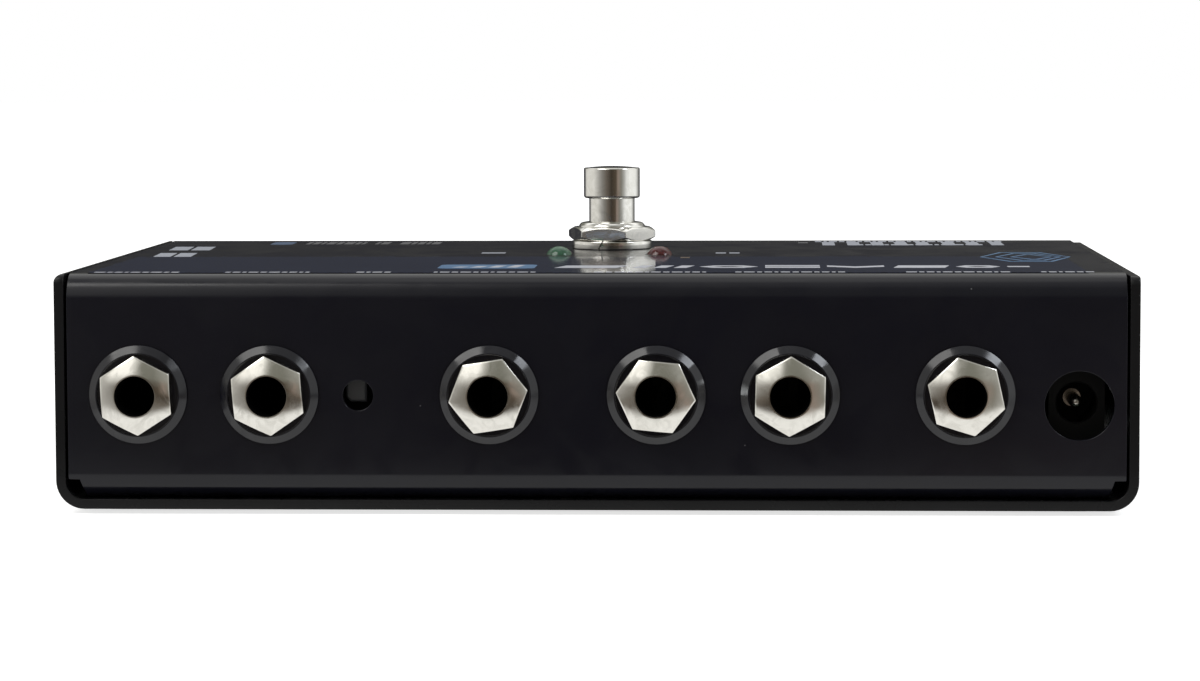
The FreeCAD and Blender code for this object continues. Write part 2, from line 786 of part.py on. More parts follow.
def lift_switch_body():
    """The switch's case, with the slot that its button slides in."""
    half = lift_body_width / 2
    body = block((-half, half), (-lift_drop, lift_body_rise), (lift_rear, lift_front))
    slot_x = button_width / 2 + slide_gap
    slot_y = button_height / 2 + slide_gap
    slot = block((-slot_x, slot_x), (-slot_y, slot_y), (lift_cavity[1] - beyond, lift_front + beyond))
    room_x = carriage_half_width + slide_gap
    room_y = carriage_half_height + slide_gap
    return body.cut([slot, block((-room_x, room_x), (-room_y, room_y), lift_cavity)])


def lift_switch_button():
    """The rectangular button and the carriage behind it, which keeps it in the case."""
    button = centred_block((button_width, button_height, button_length), carriage_front)
    corner = edges_along(button, along_z, lambda middle: middle.x < 0 and middle.y < 0)
    button = button.makeChamfer(button_corner_bevel, corner)
    button = button.makeChamfer(button_edge_bevel, edges_of_face(button, -button_recess))
    carriage = block((-carriage_half_width, carriage_half_width), (-carriage_half_height, carriage_half_height),
                     (carriage_rear, carriage_front))
    return button.fuse(carriage)


lift_pin_reaches = [(lift_front + lift_rear) / 2 + lift_pin_spacing * row for row in (-1, 0, 1)]
lift_pin_places = [(button_x + side * lift_pin_half_span, panel_face - reach)
                   for side in (-1, 1) for reach in lift_pin_reaches]


def make_lift_switch():
    """The lift switch in four sub-parts."""
    save("lift_switch_body", on_panel(lift_switch_body(), button_x, button_z))
    save("lift_switch_button", on_panel(lift_switch_button(), button_x, button_z))
    spring = coil_spring(lift_spring_diameter, lift_spring_wire, lift_spring_turns,
                         (lift_cavity[0], carriage_rear))
    save("lift_switch_spring", on_panel(spring, button_x, button_z))
    save("lift_switch_pins", *[rod(lift_pin_diameter, (lead_end, board_top), x, y) for x, y in lift_pin_places])
    return [(x, y, lift_pin_diameter, lift_pin_diameter) for x, y in lift_pin_places]


# Footswitch, drawn about its axis, with heights measured from the cover's top face

nut_seat = lock_washer_thickness
nut_top = nut_seat + top_nut_thickness
bushing_top = nut_top + bushing_shoulder
plate_top = -cover_sheet - lower_nut_thickness - bushing_thread_below
housing_top = plate_top - bushing_plate_thickness
room_top = housing_top - housing_top_wall
carrier_top = room_top - carrier_stop_gap
carrier_bottom = carrier_top - carrier_height
housing_bottom = carrier_bottom - footswitch_travel - footswitch_spring_pressed
base_bottom = housing_bottom - base_thickness
lug_top = housing_bottom + lug_inner_reach
lug_bottom = lug_top - lug_length
cap_bottom = bushing_top + cap_above_bushing
cap_top = cap_bottom + cap_height
thread_gap = 0.1
lug_places = [(lug_spacing * column, side * lug_row_half_span) for side in (-1, 1) for column in (-1, 0, 1)]


def footswitch_bushing():
    """The threaded bushing with its rounded shoulder, and the plate that caps the housing."""
    outer = bushing_diameter / 2
    bore = bushing_bore_diameter / 2
    shoulder = outer - bushing_shoulder_width
    middle = (outer - bushing_shoulder_width / 3, bushing_top - bushing_shoulder / 4)
    sleeve = turned((bore, housing_top), (outer, housing_top), (outer, nut_top), (middle, (shoulder, bushing_top)),
                    (bore, bushing_top))
    plate = centred_block((housing_width, housing_width, bushing_plate_thickness), housing_top)
    return sleeve.fuse(plate.cut(rod(bushing_bore_diameter, (housing_top - beyond, plate_top + beyond))))


def thin_nut(z, turn):
    """A hexagon nut on the bushing's thread, both faces bevelled."""
    corner = nut_across_flats / math.sqrt(3)
    face = nut_across_flats / 2 - nut_bevel / 4
    bevel = (corner - face) * math.tan(math.radians(30))
    bore = bushing_diameter / 2 + thread_gap
    blank = turned((bore, z[0]), (face, z[0]), (corner, z[0] + bevel), (corner, z[1] - bevel), (face, z[1]),
                   (bore, z[1]))
    return blank.common(hexagon(nut_across_flats, z, turn))


def footswitch_lock_washer():
    """The split washer, cut through by one slanted slit."""
    z = (0, lock_washer_thickness)
    ring = tube(lock_washer_diameter, bushing_diameter + 2 * thread_gap, z)
    slit = centred_block((lock_washer_diameter, lock_washer_slit, 3 * lock_washer_thickness),
                         -lock_washer_thickness, lock_washer_diameter / 2)
    slit.rotate(Vector(0, 0, lock_washer_thickness / 2), along_x, lock_washer_slit_slant)
    slit.rotate(Vector(), along_z, lock_washer_slit_turn)
    return ring.cut(slit)


def footswitch_plunger():
    """Cap, neck and stem in one turned piece."""
    cap = cap_diameter / 2
    neck = neck_diameter / 2
    stem = stem_diameter / 2
    stem_end = carrier_bottom - stem_reach
    edge_top = cap_top - cap_crown
    flat = cap - cap_top_round
    crown_radius = (flat * flat + cap_crown * cap_crown) / (2 * cap_crown)
    half_arc = math.asin(flat / crown_radius) / 2
    crown_middle = (crown_radius * math.sin(half_arc), cap_top - crown_radius * (1 - math.cos(half_arc)))
    bend = math.sqrt(0.5)
    low_middle = (cap - cap_lower_round * (1 - bend), cap_bottom + cap_lower_round * (1 - bend))
    top_middle = (cap - cap_top_round * (1 - bend), edge_top - cap_top_round * (1 - bend))
    return turned((0, stem_end), (stem, stem_end), (stem, carrier_top), (neck, carrier_top), (neck, cap_bottom),
                  (cap - cap_lower_round, cap_bottom), (low_middle, (cap, cap_bottom + cap_lower_round)),
                  (cap, edge_top - cap_top_round), (top_middle, (flat, edge_top)),
                  (crown_middle, (0, cap_top)))


def footswitch_carrier():
    """The moulded carrier on the stem, which moves the contacts and stops the plunger's rise."""
    carrier = centred_block((carrier_width, carrier_width, carrier_height), carrier_bottom)
    return carrier.cut(rod(stem_diameter + 2 * contact_gap, (carrier_bottom - beyond, carrier_top + beyond)))


def footswitch_housing():
    """The square housing under the bushing's plate, open below."""
    housing = centred_block((housing_width, housing_width, housing_top - housing_bottom), housing_bottom)
    room_width = housing_width - 2 * housing_wall
    room = centred_block((room_width, room_width, room_top - housing_bottom + beyond), housing_bottom - beyond)
    stem_hole = rod(bushing_bore_diameter + 2 * stem_hole_gap, (room_top - beyond, housing_top + beyond))
    return housing.cut([room, stem_hole])


def lug_block(x, y, grow=0.0):
    """One terminal lug, or the slot for it when grown by a gap."""
    size = (lug_width + 2 * grow, lug_thickness + 2 * grow, lug_length + 2 * grow)
    return centred_block(size, lug_bottom - grow, x, y)


def footswitch_base():
    """The terminal base that closes the housing."""
    base = centred_block((housing_width, housing_width, base_thickness), base_bottom)
    return base.cut([lug_block(x, y, contact_gap) for x, y in lug_places])


def make_footswitch():
    """The footswitch in ten sub-parts."""
    lower_nut = thin_nut((-cover_sheet - lower_nut_thickness, -cover_sheet), 0)
    spring = coil_spring(footswitch_spring_diameter, footswitch_spring_wire, footswitch_spring_turns,
                         (housing_bottom, carrier_bottom))
    pieces = {
        "footswitch_bushing": [footswitch_bushing()],
        "footswitch_housing": [footswitch_housing()],
        "footswitch_base": [footswitch_base()],
        "footswitch_lugs": [lug_block(x, y) for x, y in lug_places],
        "footswitch_plunger": [footswitch_plunger()],
        "footswitch_carrier": [footswitch_carrier()],
        "footswitch_spring": [spring],
        "footswitch_lower_nut": [lower_nut],
        "footswitch_lock_washer": [footswitch_lock_washer()],
        "footswitch_top_nut": [thin_nut((nut_seat, nut_top), top_nut_turn)],
    }
    for name, solids in pieces.items():
        save(name, *[on_top(solid, footswitch_x, footswitch_y) for solid in solids])


# LEDs, with heights measured from the cover's top face

led_bottom = led_rise - led_length
led_places = ((-led_half_spacing, "led_green"), (led_half_spacing, "led_red"))


def led_lens():
    """One LED's moulded lens, with a round dome and a flange at its foot."""
    radius = led_diameter / 2
    flange = led_flange_diameter / 2
    flange_top = led_bottom + led_flange_thickness
    bend = math.sqrt(0.5)
    dome_middle = (radius * bend, led_rise - radius * (1 - bend))
    return turned((0, led_bottom), (flange, led_bottom), (flange, flange_top), (radius, flange_top),
                  (radius, led_rise - radius), (dome_middle, (0, led_rise)))


def make_leds():
    """The two LEDs, their leads, and the spacers that they stand on."""
    leads = []
    wires = []
    spacers = []
    foot = rim + led_bottom
    for x, name in led_places:
        save(name, on_top(led_lens(), x, led_y))
        lead_xs = (x - led_lead_half_spacing, x + led_lead_half_spacing)
        wires += [rod(led_lead_diameter, (lead_end, foot), lead_x, led_y) for lead_x in lead_xs]
        leads += [(lead_x, led_y, led_lead_diameter, led_lead_diameter) for lead_x in lead_xs]
        hole = led_lead_diameter + 2 * spacer_hole_gap
        past = (board_top - beyond, foot + beyond)
        spacer = rod(spacer_diameter, (board_top, foot), x, led_y)
        spacers.append(spacer.cut([rod(hole, past, lead_x, led_y) for lead_x in lead_xs]))
    save("led_leads", *wires)
    save("led_spacers", *spacers)
    return leads


# Parts that stand on the board, in two rows behind the jacks

row_depth = max(relay_size[1], winding_depth)
row_1_y = part_row_front + row_depth / 2
row_2_y = board_rear - part_row_gap - resistor_span / 2


def make_relays():
    """Three relays behind the jacks in the middle of the row."""
    cases = []
    leads = []
    for x in (jack_3_x, jack_4_x, jack_5_x):
        case = centred_block(relay_size, board_top, x, row_1_y)
        case = case.makeFillet(0.5, edges_along(case, along_z))
        span_x = relay_size[0] / 2 - relay_pin_inset
        span_y = relay_size[1] / 2 - relay_pin_inset
        for pin_x, pin_y in ((-span_x, -span_y), (-span_x, span_y), (span_x, -span_y), (span_x, span_y), (0, 0)):
            pin = rod(relay_pin_diameter, (lead_end, board_top), x + pin_x, row_1_y + pin_y)
            case = case.fuse(pin)
            leads.append((x + pin_x, row_1_y + pin_y, relay_pin_diameter, relay_pin_diameter))
        cases.append(case)
    save("relays", *cases)
    return leads


def make_transformer():
    """The isolation transformer: a stacked core and the winding round its middle leg."""
    x = (jack_1_x + jack_2_x) / 2
    wide, deep, tall = core_size
    core = centred_block(core_size, board_top, x, row_1_y)
    window_bottom = board_top + core_yoke
    window_tall = tall - 2 * core_yoke
    window_wide = (wide - core_leg_width) / 2 - core_yoke
    for side in (-1, 1):
        centre = x + side * (core_leg_width + window_wide) / 2
        window = centred_block((window_wide, deep + 2 * beyond, window_tall), window_bottom, centre, row_1_y)
        core = core.cut(window)
    winding_wide = core_leg_width + 2 * (window_wide - winding_gap)
    winding_tall = window_tall - 2 * winding_gap
    winding = centred_block((winding_wide, winding_depth, winding_tall), window_bottom + winding_gap, x, row_1_y)
    winding = winding.makeFillet(winding_wide / 6, edges_along(winding, along_z))
    leg_size = (core_leg_width + 2 * winding_gap, deep + 2 * winding_gap, window_tall + 2 * beyond)
    winding = winding.cut(centred_block(leg_size, window_bottom - beyond, x, row_1_y))
    save("transformer_core", core)
    save("transformer_winding", winding)


def make_capacitors():
    """The round capacitors beside the relays, each with a groove near its foot."""
    cans = []
    leads = []
    edge = jack_5_x + relay_size[0] / 2
    for diameter, tall in capacitor_sizes:
        x = edge + capacitor_gap + diameter / 2
        edge += capacitor_gap + diameter
        radius = diameter / 2
        groove = board_top + 2 * capacitor_groove
        can = turned((0, board_top), (radius, board_top), (radius, groove),
                     (radius - capacitor_groove, groove + capacitor_groove),
                     (radius, groove + 2 * capacitor_groove), (radius, board_top + tall), (0, board_top + tall))
        can.translate(Vector(x, row_1_y, 0))
        for side in (-1, 1):
            lead_x = x + side * capacitor_lead_half_spacing
            can = can.fuse(rod(led_lead_diameter, (lead_end, board_top), lead_x, row_1_y))
            leads.append((lead_x, row_1_y, led_lead_diameter, led_lead_diameter))
        cans.append(can)
    save("capacitors", *cans)
    return leads


def make_chips():
    """Two chips in line, each on two rows of pins, between the transformer and the LEDs."""
    chips = []
    leads = []
    for place in (jack_2_x, lift_x):
        chip = centred_block(chip_size, board_top + chip_lift, place, row_2_y)
        for number in range(chip_pins_per_side):
            x = place + chip_pin_spacing * (number - (chip_pins_per_side - 1) / 2)
            for side in (-1, 1):
                y = row_2_y + side * chip_pin_half_span
                top = board_top + chip_lift + chip_size[2] / 2
                bend_depth = chip_pin_half_span - chip_size[1] / 2 + chip_pin_width
                inner_y = y - side * (bend_depth - chip_pin_width) / 2
                bend_size = (chip_pin_width, bend_depth, chip_pin_width)
                chip = chip.fuse([lead(x, y, chip_pin_width, chip_pin_width, top),
                                  centred_block(bend_size, top - chip_pin_width, x, inner_y)])
                leads.append((x, y, chip_pin_width, chip_pin_width))
        chips.append(chip)
    save("chips", *chips)
    return leads


def make_regulator():
    """The voltage regulator, standing on its three leads behind the inlet."""
    x = jack_6_x
    wide, deep, tall = regulator_size
    bottom = board_top + regulator_standoff
    body = centred_block(regulator_size, bottom, x, row_2_y)
    tab_y = row_2_y + (deep + regulator_tab_thickness) / 2
    tab = centred_block((wide, regulator_tab_thickness, tall + regulator_tab_rise), bottom, x, tab_y)
    hole = Part.makeCylinder(regulator_tab_hole / 2, 4 * beyond + regulator_tab_thickness,
                             Vector(x, tab_y - 2 * beyond, bottom + tall + regulator_tab_rise / 2), along_y)
    regulator = body.fuse(tab.cut(hole))
    leads = []
    for side in (-1, 0, 1):
        lead_x = x + side * header_pin_spacing
        regulator = regulator.fuse(lead(lead_x, row_2_y, regulator_lead_width, strip_thickness, bottom))
        leads.append((lead_x, row_2_y, regulator_lead_width, strip_thickness))
    save("regulator", regulator)
    return leads


def make_resistors():
    """A row of resistors lying across the board, each with its two bent wires."""
    diameter, length = resistor_body
    height = board_top + resistor_lift + diameter / 2
    first = jack_4_x + resistor_spacing
    resistors = []
    leads = []
    for number in range(resistor_count):
        x = first + resistor_spacing * number
        body = Part.makeCylinder(diameter / 2, length, Vector(x, row_2_y - length / 2, height), along_y)
        body = body.makeFillet(diameter / 6, body.Edges[0:1] + body.Edges[2:3])
        ends = (row_2_y - resistor_span / 2, row_2_y + resistor_span / 2)
        path = [Vector(x, ends[0], lead_end), Vector(x, ends[0], height), Vector(x, ends[1], height),
                Vector(x, ends[1], lead_end)]
        resistors.append(body.fuse(routed_wire(path, resistor_wire, resistor_wire_bend)))
        leads += [(x, y, resistor_wire, resistor_wire) for y in ends]
    save("resistors", *resistors)
    return leads


header_y = board_rear - header_depth / 2
header_xs = [header_pin_spacing * (number - (header_pins - 1) / 2) for number in range(header_pins)]


def make_header():
    """The plug and socket at the board's rear edge that the footswitch is wired to."""
    wide = header_pins * header_pin_spacing
    header = centred_block((wide, header_depth, header_height), board_top, 0, header_y)
    for x in header_xs:
        header = header.fuse(lead(x, header_y, header_pin_width, header_pin_width, board_top))
    save("board_header", header)
    return [(x, header_y, header_pin_width, header_pin_width) for x in header_xs]


def make_wires():
    """The three wires from the header to the footswitch's near row of lugs."""
    wires = []
    start_z = board_top + header_height / 2
    end_z = rim + lug_bottom + wire_diameter
    lug_y = footswitch_y - lug_row_half_span - lug_thickness / 2
    lug_xs = [footswitch_x + lug_spacing * column for column in (-1, 0, 1)]
    for x, lug_x in zip(header_xs, lug_xs):
        run = (lug_y - board_rear) / 3
        path = [Vector(x, board_rear, start_z), Vector(x, board_rear + run, start_z),
                Vector(lug_x, lug_y - run, end_z), Vector(lug_x, lug_y, end_z)]
        wires.append(routed_wire(path, wire_diameter))
    save("footswitch_wires", *wires)


def make_board(leads):
    """The circuit board, with a hole for each lead."""
    half = half_width - shell_sheet - board_side_gap
    front = panel_face + cover_sheet + board_front_gap
    board = block((-half, half), (front, board_rear), (board_bottom, board_top))
    tall = board_thickness + 2 * beyond
    holes = [centred_block((wide + 2 * lead_gap, deep + 2 * lead_gap, tall), board_bottom - beyond, x, y)
             for x, y, wide, deep in leads]
    save("main_board", board.cut(holes))


os.makedirs("parts", exist_ok=True)
make_enclosure()
board_leads = make_jacks() + make_inlet() + make_lift_switch() + make_leds()
make_footswitch()
board_leads += make_relays() + make_capacitors() + make_chips() + make_regulator() + make_resistors()
board_leads += make_header()
make_transformer()
make_wires()
make_board(board_leads)
print("box", box_width, "by", box_depth, "by", rim, "mm; footswitch top", rim + cap_top, "mm")
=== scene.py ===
import logging
import math
from dataclasses import dataclass, field
from enum import Enum
from typing import Callable, Iterable, Sequence

import bmesh
import bpy
from mathutils import Matrix, Vector


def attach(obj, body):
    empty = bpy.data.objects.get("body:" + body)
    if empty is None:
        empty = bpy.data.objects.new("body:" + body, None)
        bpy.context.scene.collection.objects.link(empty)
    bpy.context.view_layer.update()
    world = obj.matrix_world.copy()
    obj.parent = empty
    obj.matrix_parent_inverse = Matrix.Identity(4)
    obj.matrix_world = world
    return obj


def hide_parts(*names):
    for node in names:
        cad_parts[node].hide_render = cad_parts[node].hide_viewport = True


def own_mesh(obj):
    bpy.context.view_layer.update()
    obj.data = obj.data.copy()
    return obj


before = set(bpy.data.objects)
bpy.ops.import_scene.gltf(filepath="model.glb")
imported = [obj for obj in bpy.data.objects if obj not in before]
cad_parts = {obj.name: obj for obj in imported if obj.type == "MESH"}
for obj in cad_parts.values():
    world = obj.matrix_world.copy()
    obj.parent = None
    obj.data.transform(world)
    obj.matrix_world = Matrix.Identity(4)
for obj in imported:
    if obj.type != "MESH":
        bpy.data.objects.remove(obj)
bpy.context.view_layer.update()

MM = 0.001
CASE = "case"
PRESSED = "footswitch_button"

# Vertices nearer than these, in metres, are one: of bodies made here, of slivers, of the CAD's own meshes.
WELD = 1e-7
SLIVER = 1e-8
CAD_WELD = 2e-6

# An edge stays crisp past this angle, in degrees, and two faces count as one within the second.
CRISP = 28.0
SAME_PLANE = 0.4

log = logging.getLogger("amp_switcher")

Colour = tuple[float, float, float]
Point2 = tuple[float, float]
Ring = Callable[[float], Point2]


# Node helpers

class NodeSheet:
    """Adds nodes to one material, world or node group and joins them."""

    def __init__(self, tree: bpy.types.NodeTree) -> None:
        """Keeps the tree that the nodes go into.

        Args:
            tree: a shader or geometry node tree.
        """
        self.tree = tree

    def add(self, kind: str, **values: object) -> bpy.types.Node:
        """Adds a node. Values are its properties, or inputs named with a leading in_ and underscores.

        Args:
            kind: the node's type name.
            values: properties to set, or in_Socket_Name=value or socket to join.

        Returns:
            The new node.
        """
        node = self.tree.nodes.new(kind)
        for key, value in values.items():
            if not key.startswith("in_"):
                setattr(node, key, value)
        for key, value in values.items():
            if key.startswith("in_"):
                name = key[3:].replace("_", " ")
                socket = node.inputs[int(name)] if name.isdigit() else node.inputs[name]
                self.feed(socket, value)
        return node

    def feed(self, socket: bpy.types.NodeSocket, value: object) -> None:
        """Sets a socket, or joins another socket to it.

        Args:
            socket: the input to feed.
            value: a plain value or an output socket.
        """
        if isinstance(value, bpy.types.NodeSocket):
            self.tree.links.new(value, socket)
        else:
            socket.default_value = value

    def maths(self, operation: str, first: object, second: object = 0.0, third: object = 0.0,
              clamp: bool = False) -> bpy.types.NodeSocket:
        """One Math node.

        Args:
            operation: the node's operation.
            first: first value or socket.
            second: second value or socket.
            third: third value or socket.
            clamp: keeps the result from 0 to 1.

        Returns:
            The node's output.
        """
        node = self.add("ShaderNodeMath", operation=operation, use_clamp=clamp)
        for socket, value in zip(node.inputs, (first, second, third)):
            self.feed(socket, value)
        return node.outputs[0]

    def blend(self, factor: object, low: object, high: object) -> bpy.types.NodeSocket:
        """Mixes two colours.

        Args:
            factor: how much of the second.
            low: colour or socket at 0.
            high: colour or socket at 1.

        Returns:
            The mixed colour.
        """
        node = self.add("ShaderNodeMix", data_type="RGBA")
        self.feed(node.inputs["Factor"], factor)
        for name, value in (("A", low), ("B", high)):
            socket = next(s for s in node.inputs if s.name == name and s.type == "RGBA")
            self.feed(socket, value if isinstance(value, bpy.types.NodeSocket) else (*value, 1.0))
        return next(s for s in node.outputs if s.type == "RGBA")

    def span(self, value: object, low: float, high: float, to_low: float = 0.0,
             to_high: float = 1.0) -> bpy.types.NodeSocket:
        """Carries a value from one range to another, smoothly and held at the ends.

        Args:
            value: the socket to carry.
            low: start of its range.
            high: end of its range.
            to_low: result at the start.
            to_high: result at the end.

        Returns:
            The carried value.
        """
        node = self.add("ShaderNodeMapRange", interpolation_type="SMOOTHSTEP", in_Value=value)
        for name, number in (("From Min", low), ("From Max", high), ("To Min", to_low), ("To Max", to_high)):
            node.inputs[name].default_value = number
        return node.outputs[0]

    def fade(self, value: object, start: float, end: float) -> bpy.types.NodeSocket:
        """Goes smoothly from one number to another while a value goes from 0 to 1."""
        return self.span(value, 0.0, 1.0, start, end)


def open_group(group: bpy.types.NodeTree, ins: dict[str, str | float],
               outs: dict[str, str]) -> tuple[NodeSheet, bpy.types.Node, bpy.types.Node]:
    """Gives a node group its named inputs and outputs, and the nodes that stand for them.

    Args:
        group: the group.
        ins: the kind of each input by name, or a number that it starts with.
        outs: the kind of each output by name.

    Returns:
        The group's node sheet, its input node and its output node.
    """
    for sockets, way in ((ins, "INPUT"), (outs, "OUTPUT")):
        for name, kind in sockets.items():
            label = kind if isinstance(kind, str) else "Float"
            socket = group.interface.new_socket(name=name, in_out=way, socket_type="NodeSocket" + label)
            if not isinstance(kind, str):
                socket.default_value = kind
    sheet = NodeSheet(group)
    return sheet, sheet.add("NodeGroupInput"), sheet.add("NodeGroupOutput")


class Effect(Enum):
    """The effects that several finishes share, each one shader node group."""

    GRAIN = "powder_grain"
    DUST = "stray_dust"
    HANDLING = "handling_marks"


class EffectBench:
    """Builds each shared shader node group once.

    Attributes:
        SLOW: scale of the slow change of tone, as a share of the grain's.
        PEEL: scale of the grain's cells, as a share of the grain's.
        PEEL_HEIGHT: how much the cells add to the grain's height.
        SMEARED: where a smear starts and is full, on its noise.
        DRAWN: how a hairline's noise is stretched.
    """

    SLOW = 0.022
    PEEL = 0.8
    PEEL_HEIGHT = 0.6
    SMEARED = (0.35, 0.7)
    DRAWN = (0.06, 0.06, 1.0)

    def __init__(self) -> None:
        """Starts with no group built."""
        self.groups: dict[Effect, bpy.types.NodeTree] = {}

    def group(self, effect: Effect) -> bpy.types.NodeTree:
        """The node group of an effect, built on first use.

        Args:
            effect: which effect.

        Returns:
            Its node group.
        """
        if effect not in self.groups:
            tree = bpy.data.node_groups.new(effect.value, "ShaderNodeTree")
            builder = {Effect.GRAIN: self._grain, Effect.DUST: self._dust, Effect.HANDLING: self._handling}
            builder[effect](tree)
            self.groups[effect] = tree
        return self.groups[effect]

    def place(self, sheet: NodeSheet, effect: Effect, **values: float) -> bpy.types.Node:
        """Puts an effect's group into a material, on Object coordinates.

        Args:
            sheet: the material's node sheet.
            effect: which effect.
            values: the group's inputs by name, with underscores for spaces.

        Returns:
            The group node.
        """
        node = sheet.add("ShaderNodeGroup", node_tree=self.group(effect))
        place = sheet.add("ShaderNodeTexCoord")
        sheet.feed(node.inputs["Place"], place.outputs["Object"])
        for name, value in values.items():
            node.inputs[name.replace("_", " ")].default_value = value
        return node

    def _grain(self, tree: bpy.types.NodeTree) -> None:
        """Fine orange-peel of a powder coat or a moulded skin: a height and a slow change of tone.

        Args:
            tree: the empty group.
        """
        sheet, given, out = open_group(tree, {"Place": "Vector", "Size mm": 0.4, "Unevenness": 0.5},
                                       {"Height": "Float", "Tone": "Float"})
        place = given.outputs["Place"]
        scale = sheet.maths("DIVIDE", 1.0 / MM, given.outputs["Size mm"])
        fine = sheet.add("ShaderNodeTexNoise", in_Vector=place, in_Scale=scale, in_Detail=2.0)
        slow_scale, cell_scale = (sheet.maths("MULTIPLY", scale, share) for share in (self.SLOW, self.PEEL))
        slow = sheet.add("ShaderNodeTexNoise", in_Vector=place, in_Scale=slow_scale, in_Detail=4.0)
        cells = sheet.add("ShaderNodeTexVoronoi", in_Vector=place, in_Scale=cell_scale, feature="SMOOTH_F1")
        height = sheet.maths("MULTIPLY_ADD", cells.outputs["Distance"], self.PEEL_HEIGHT, fine.outputs["Fac"])
        sheet.feed(out.inputs["Height"], height)
        shift = sheet.maths("SUBTRACT", slow.outputs["Fac"], 0.5)
        tone = sheet.maths("MULTIPLY_ADD", shift, given.outputs["Unevenness"], 0.5, clamp=True)
        sheet.feed(out.inputs["Tone"], tone)

    def _dust(self, tree: bpy.types.NodeTree) -> None:
        """Sparse pale specks, of which only some cells hold one.

        Args:
            tree: the empty group.
        """
        sheet, given, out = open_group(tree, {"Place": "Vector", "Spacing mm": 6.0, "Speck mm": 0.12,
                                              "Share": 0.2}, {"Mask": "Float"})
        scale = sheet.maths("DIVIDE", 1.0 / MM, given.outputs["Spacing mm"])
        cells = sheet.add("ShaderNodeTexVoronoi", in_Vector=given.outputs["Place"], in_Scale=scale)
        reach = sheet.maths("DIVIDE", given.outputs["Speck mm"], given.outputs["Spacing mm"])
        lit = sheet.maths("LESS_THAN", cells.outputs["Distance"], reach)
        parts = sheet.add("ShaderNodeSeparateColor", in_Color=cells.outputs["Color"])
        chosen = sheet.maths("LESS_THAN", parts.outputs["Red"], given.outputs["Share"])
        some = sheet.maths("MULTIPLY", lit, chosen)
        sheet.feed(out.inputs["Mask"], sheet.maths("MULTIPLY", some, parts.outputs["Green"]))

    def _handling(self, tree: bpy.types.NodeTree) -> None:
        """Faint smears and hairlines that change a polished or moulded skin's gloss.

        Args:
            tree: the empty group.
        """
        sheet, given, out = open_group(tree, {"Place": "Vector", "Smear mm": 5.0, "Hairline mm": 0.25},
                                       {"Smear": "Float", "Hairline": "Float"})
        place = given.outputs["Place"]
        smear_scale = sheet.maths("DIVIDE", 1.0 / MM, given.outputs["Smear mm"])
        smear = sheet.add("ShaderNodeTexNoise", in_Vector=place, in_Scale=smear_scale, in_Detail=5.0,
                          in_Distortion=1.5)
        sheet.feed(out.inputs["Smear"], sheet.span(smear.outputs["Fac"], *self.SMEARED))
        line_scale = sheet.maths("DIVIDE", 1.0 / MM, given.outputs["Hairline mm"])
        drawn = sheet.add("ShaderNodeVectorMath", operation="MULTIPLY", in_0=place, in_1=self.DRAWN)
        line = sheet.add("ShaderNodeTexNoise", in_Vector=drawn.outputs[0], in_Scale=line_scale, in_Detail=2.0)
        sheet.feed(out.inputs["Hairline"], line.outputs["Fac"])


BENCH = EffectBench()


# Finishes

@dataclass(frozen=True)
class Finish:
    """A finish: it dresses a material that it names."""

    name: str

    def material(self) -> bpy.types.Material:
        """The finish's material, built on first use.

        Returns:
            The material.
        """
        label = "finish_" + self.name
        made = bpy.data.materials.get(label)
        if made is None:
            made = bpy.data.materials.new(label)
            made.use_nodes = True
            made.node_tree.nodes.clear()
            sheet = NodeSheet(made.node_tree)
            shader = sheet.add("ShaderNodeBsdfPrincipled")
            output = sheet.add("ShaderNodeOutputMaterial")
            made.node_tree.links.new(shader.outputs[0], output.inputs["Surface"])
            self.dress(sheet, shader)
        return made

    def dress(self, sheet: NodeSheet, shader: bpy.types.Node) -> None:
        """Joins the finish's nodes to the shader.

        Args:
            sheet: the material's node sheet.
            shader: its Principled BSDF.
        """
        raise NotImplementedError


def lay(sheet: NodeSheet, shader: bpy.types.Node, colour: bpy.types.NodeSocket, roughness: bpy.types.NodeSocket,
        height: bpy.types.NodeSocket, depth_mm: float) -> None:
    """Feeds a finish's colour, roughness and height to the shader.

    Args:
        sheet: the material's node sheet.
        shader: its Principled BSDF.
        colour: the colour.
        roughness: the roughness.
        height: the height, about 0 to 1.
        depth_mm: what a height of 1 stands for.
    """
    sheet.feed(shader.inputs["Base Color"], colour)
    sheet.feed(shader.inputs["Roughness"], roughness)
    node = sheet.add("ShaderNodeBump", in_Strength=1.0, in_Distance=depth_mm * MM, in_Height=height)
    sheet.feed(shader.inputs["Normal"], node.outputs[0])


@dataclass(frozen=True)
class Skin(Finish):
    """A moulded or painted skin: a faint grain, a slow change of tone, and smears that change its gloss."""

    colour: Colour
    pale: Colour = (0.022, 0.022, 0.022)
    roughness: float = 0.38
    grain_mm: float = 0.25
    depth_mm: float = 0.003
    specular: float = 0.5
    unevenness: float = 1.2
    smear_mm: float = 4.0
    duller: float = 0.06
    glossier: float = 0.05

    def dress(self, sheet: NodeSheet, shader: bpy.types.Node) -> None:
        """Joins the grain, its tone and the smears to the shader.

        Args:
            sheet: the material's node sheet.
            shader: its Principled BSDF.
        """
        grain = BENCH.place(sheet, Effect.GRAIN, Size_mm=self.grain_mm, Unevenness=self.unevenness)
        marks = BENCH.place(sheet, Effect.HANDLING, Smear_mm=self.smear_mm)
        tone = sheet.blend(grain.outputs["Tone"], self.colour, self.pale)
        rough = sheet.fade(marks.outputs["Smear"], self.roughness + self.duller, self.roughness - self.glossier)
        shader.inputs["Specular IOR Level"].default_value = self.specular
        lay(sheet, shader, self.cover(sheet, tone), rough, grain.outputs["Height"], self.depth_mm)

    def cover(self, sheet: NodeSheet, tone: bpy.types.NodeSocket) -> bpy.types.NodeSocket:
        """The colour that shows, from the skin's own tone."""
        return tone


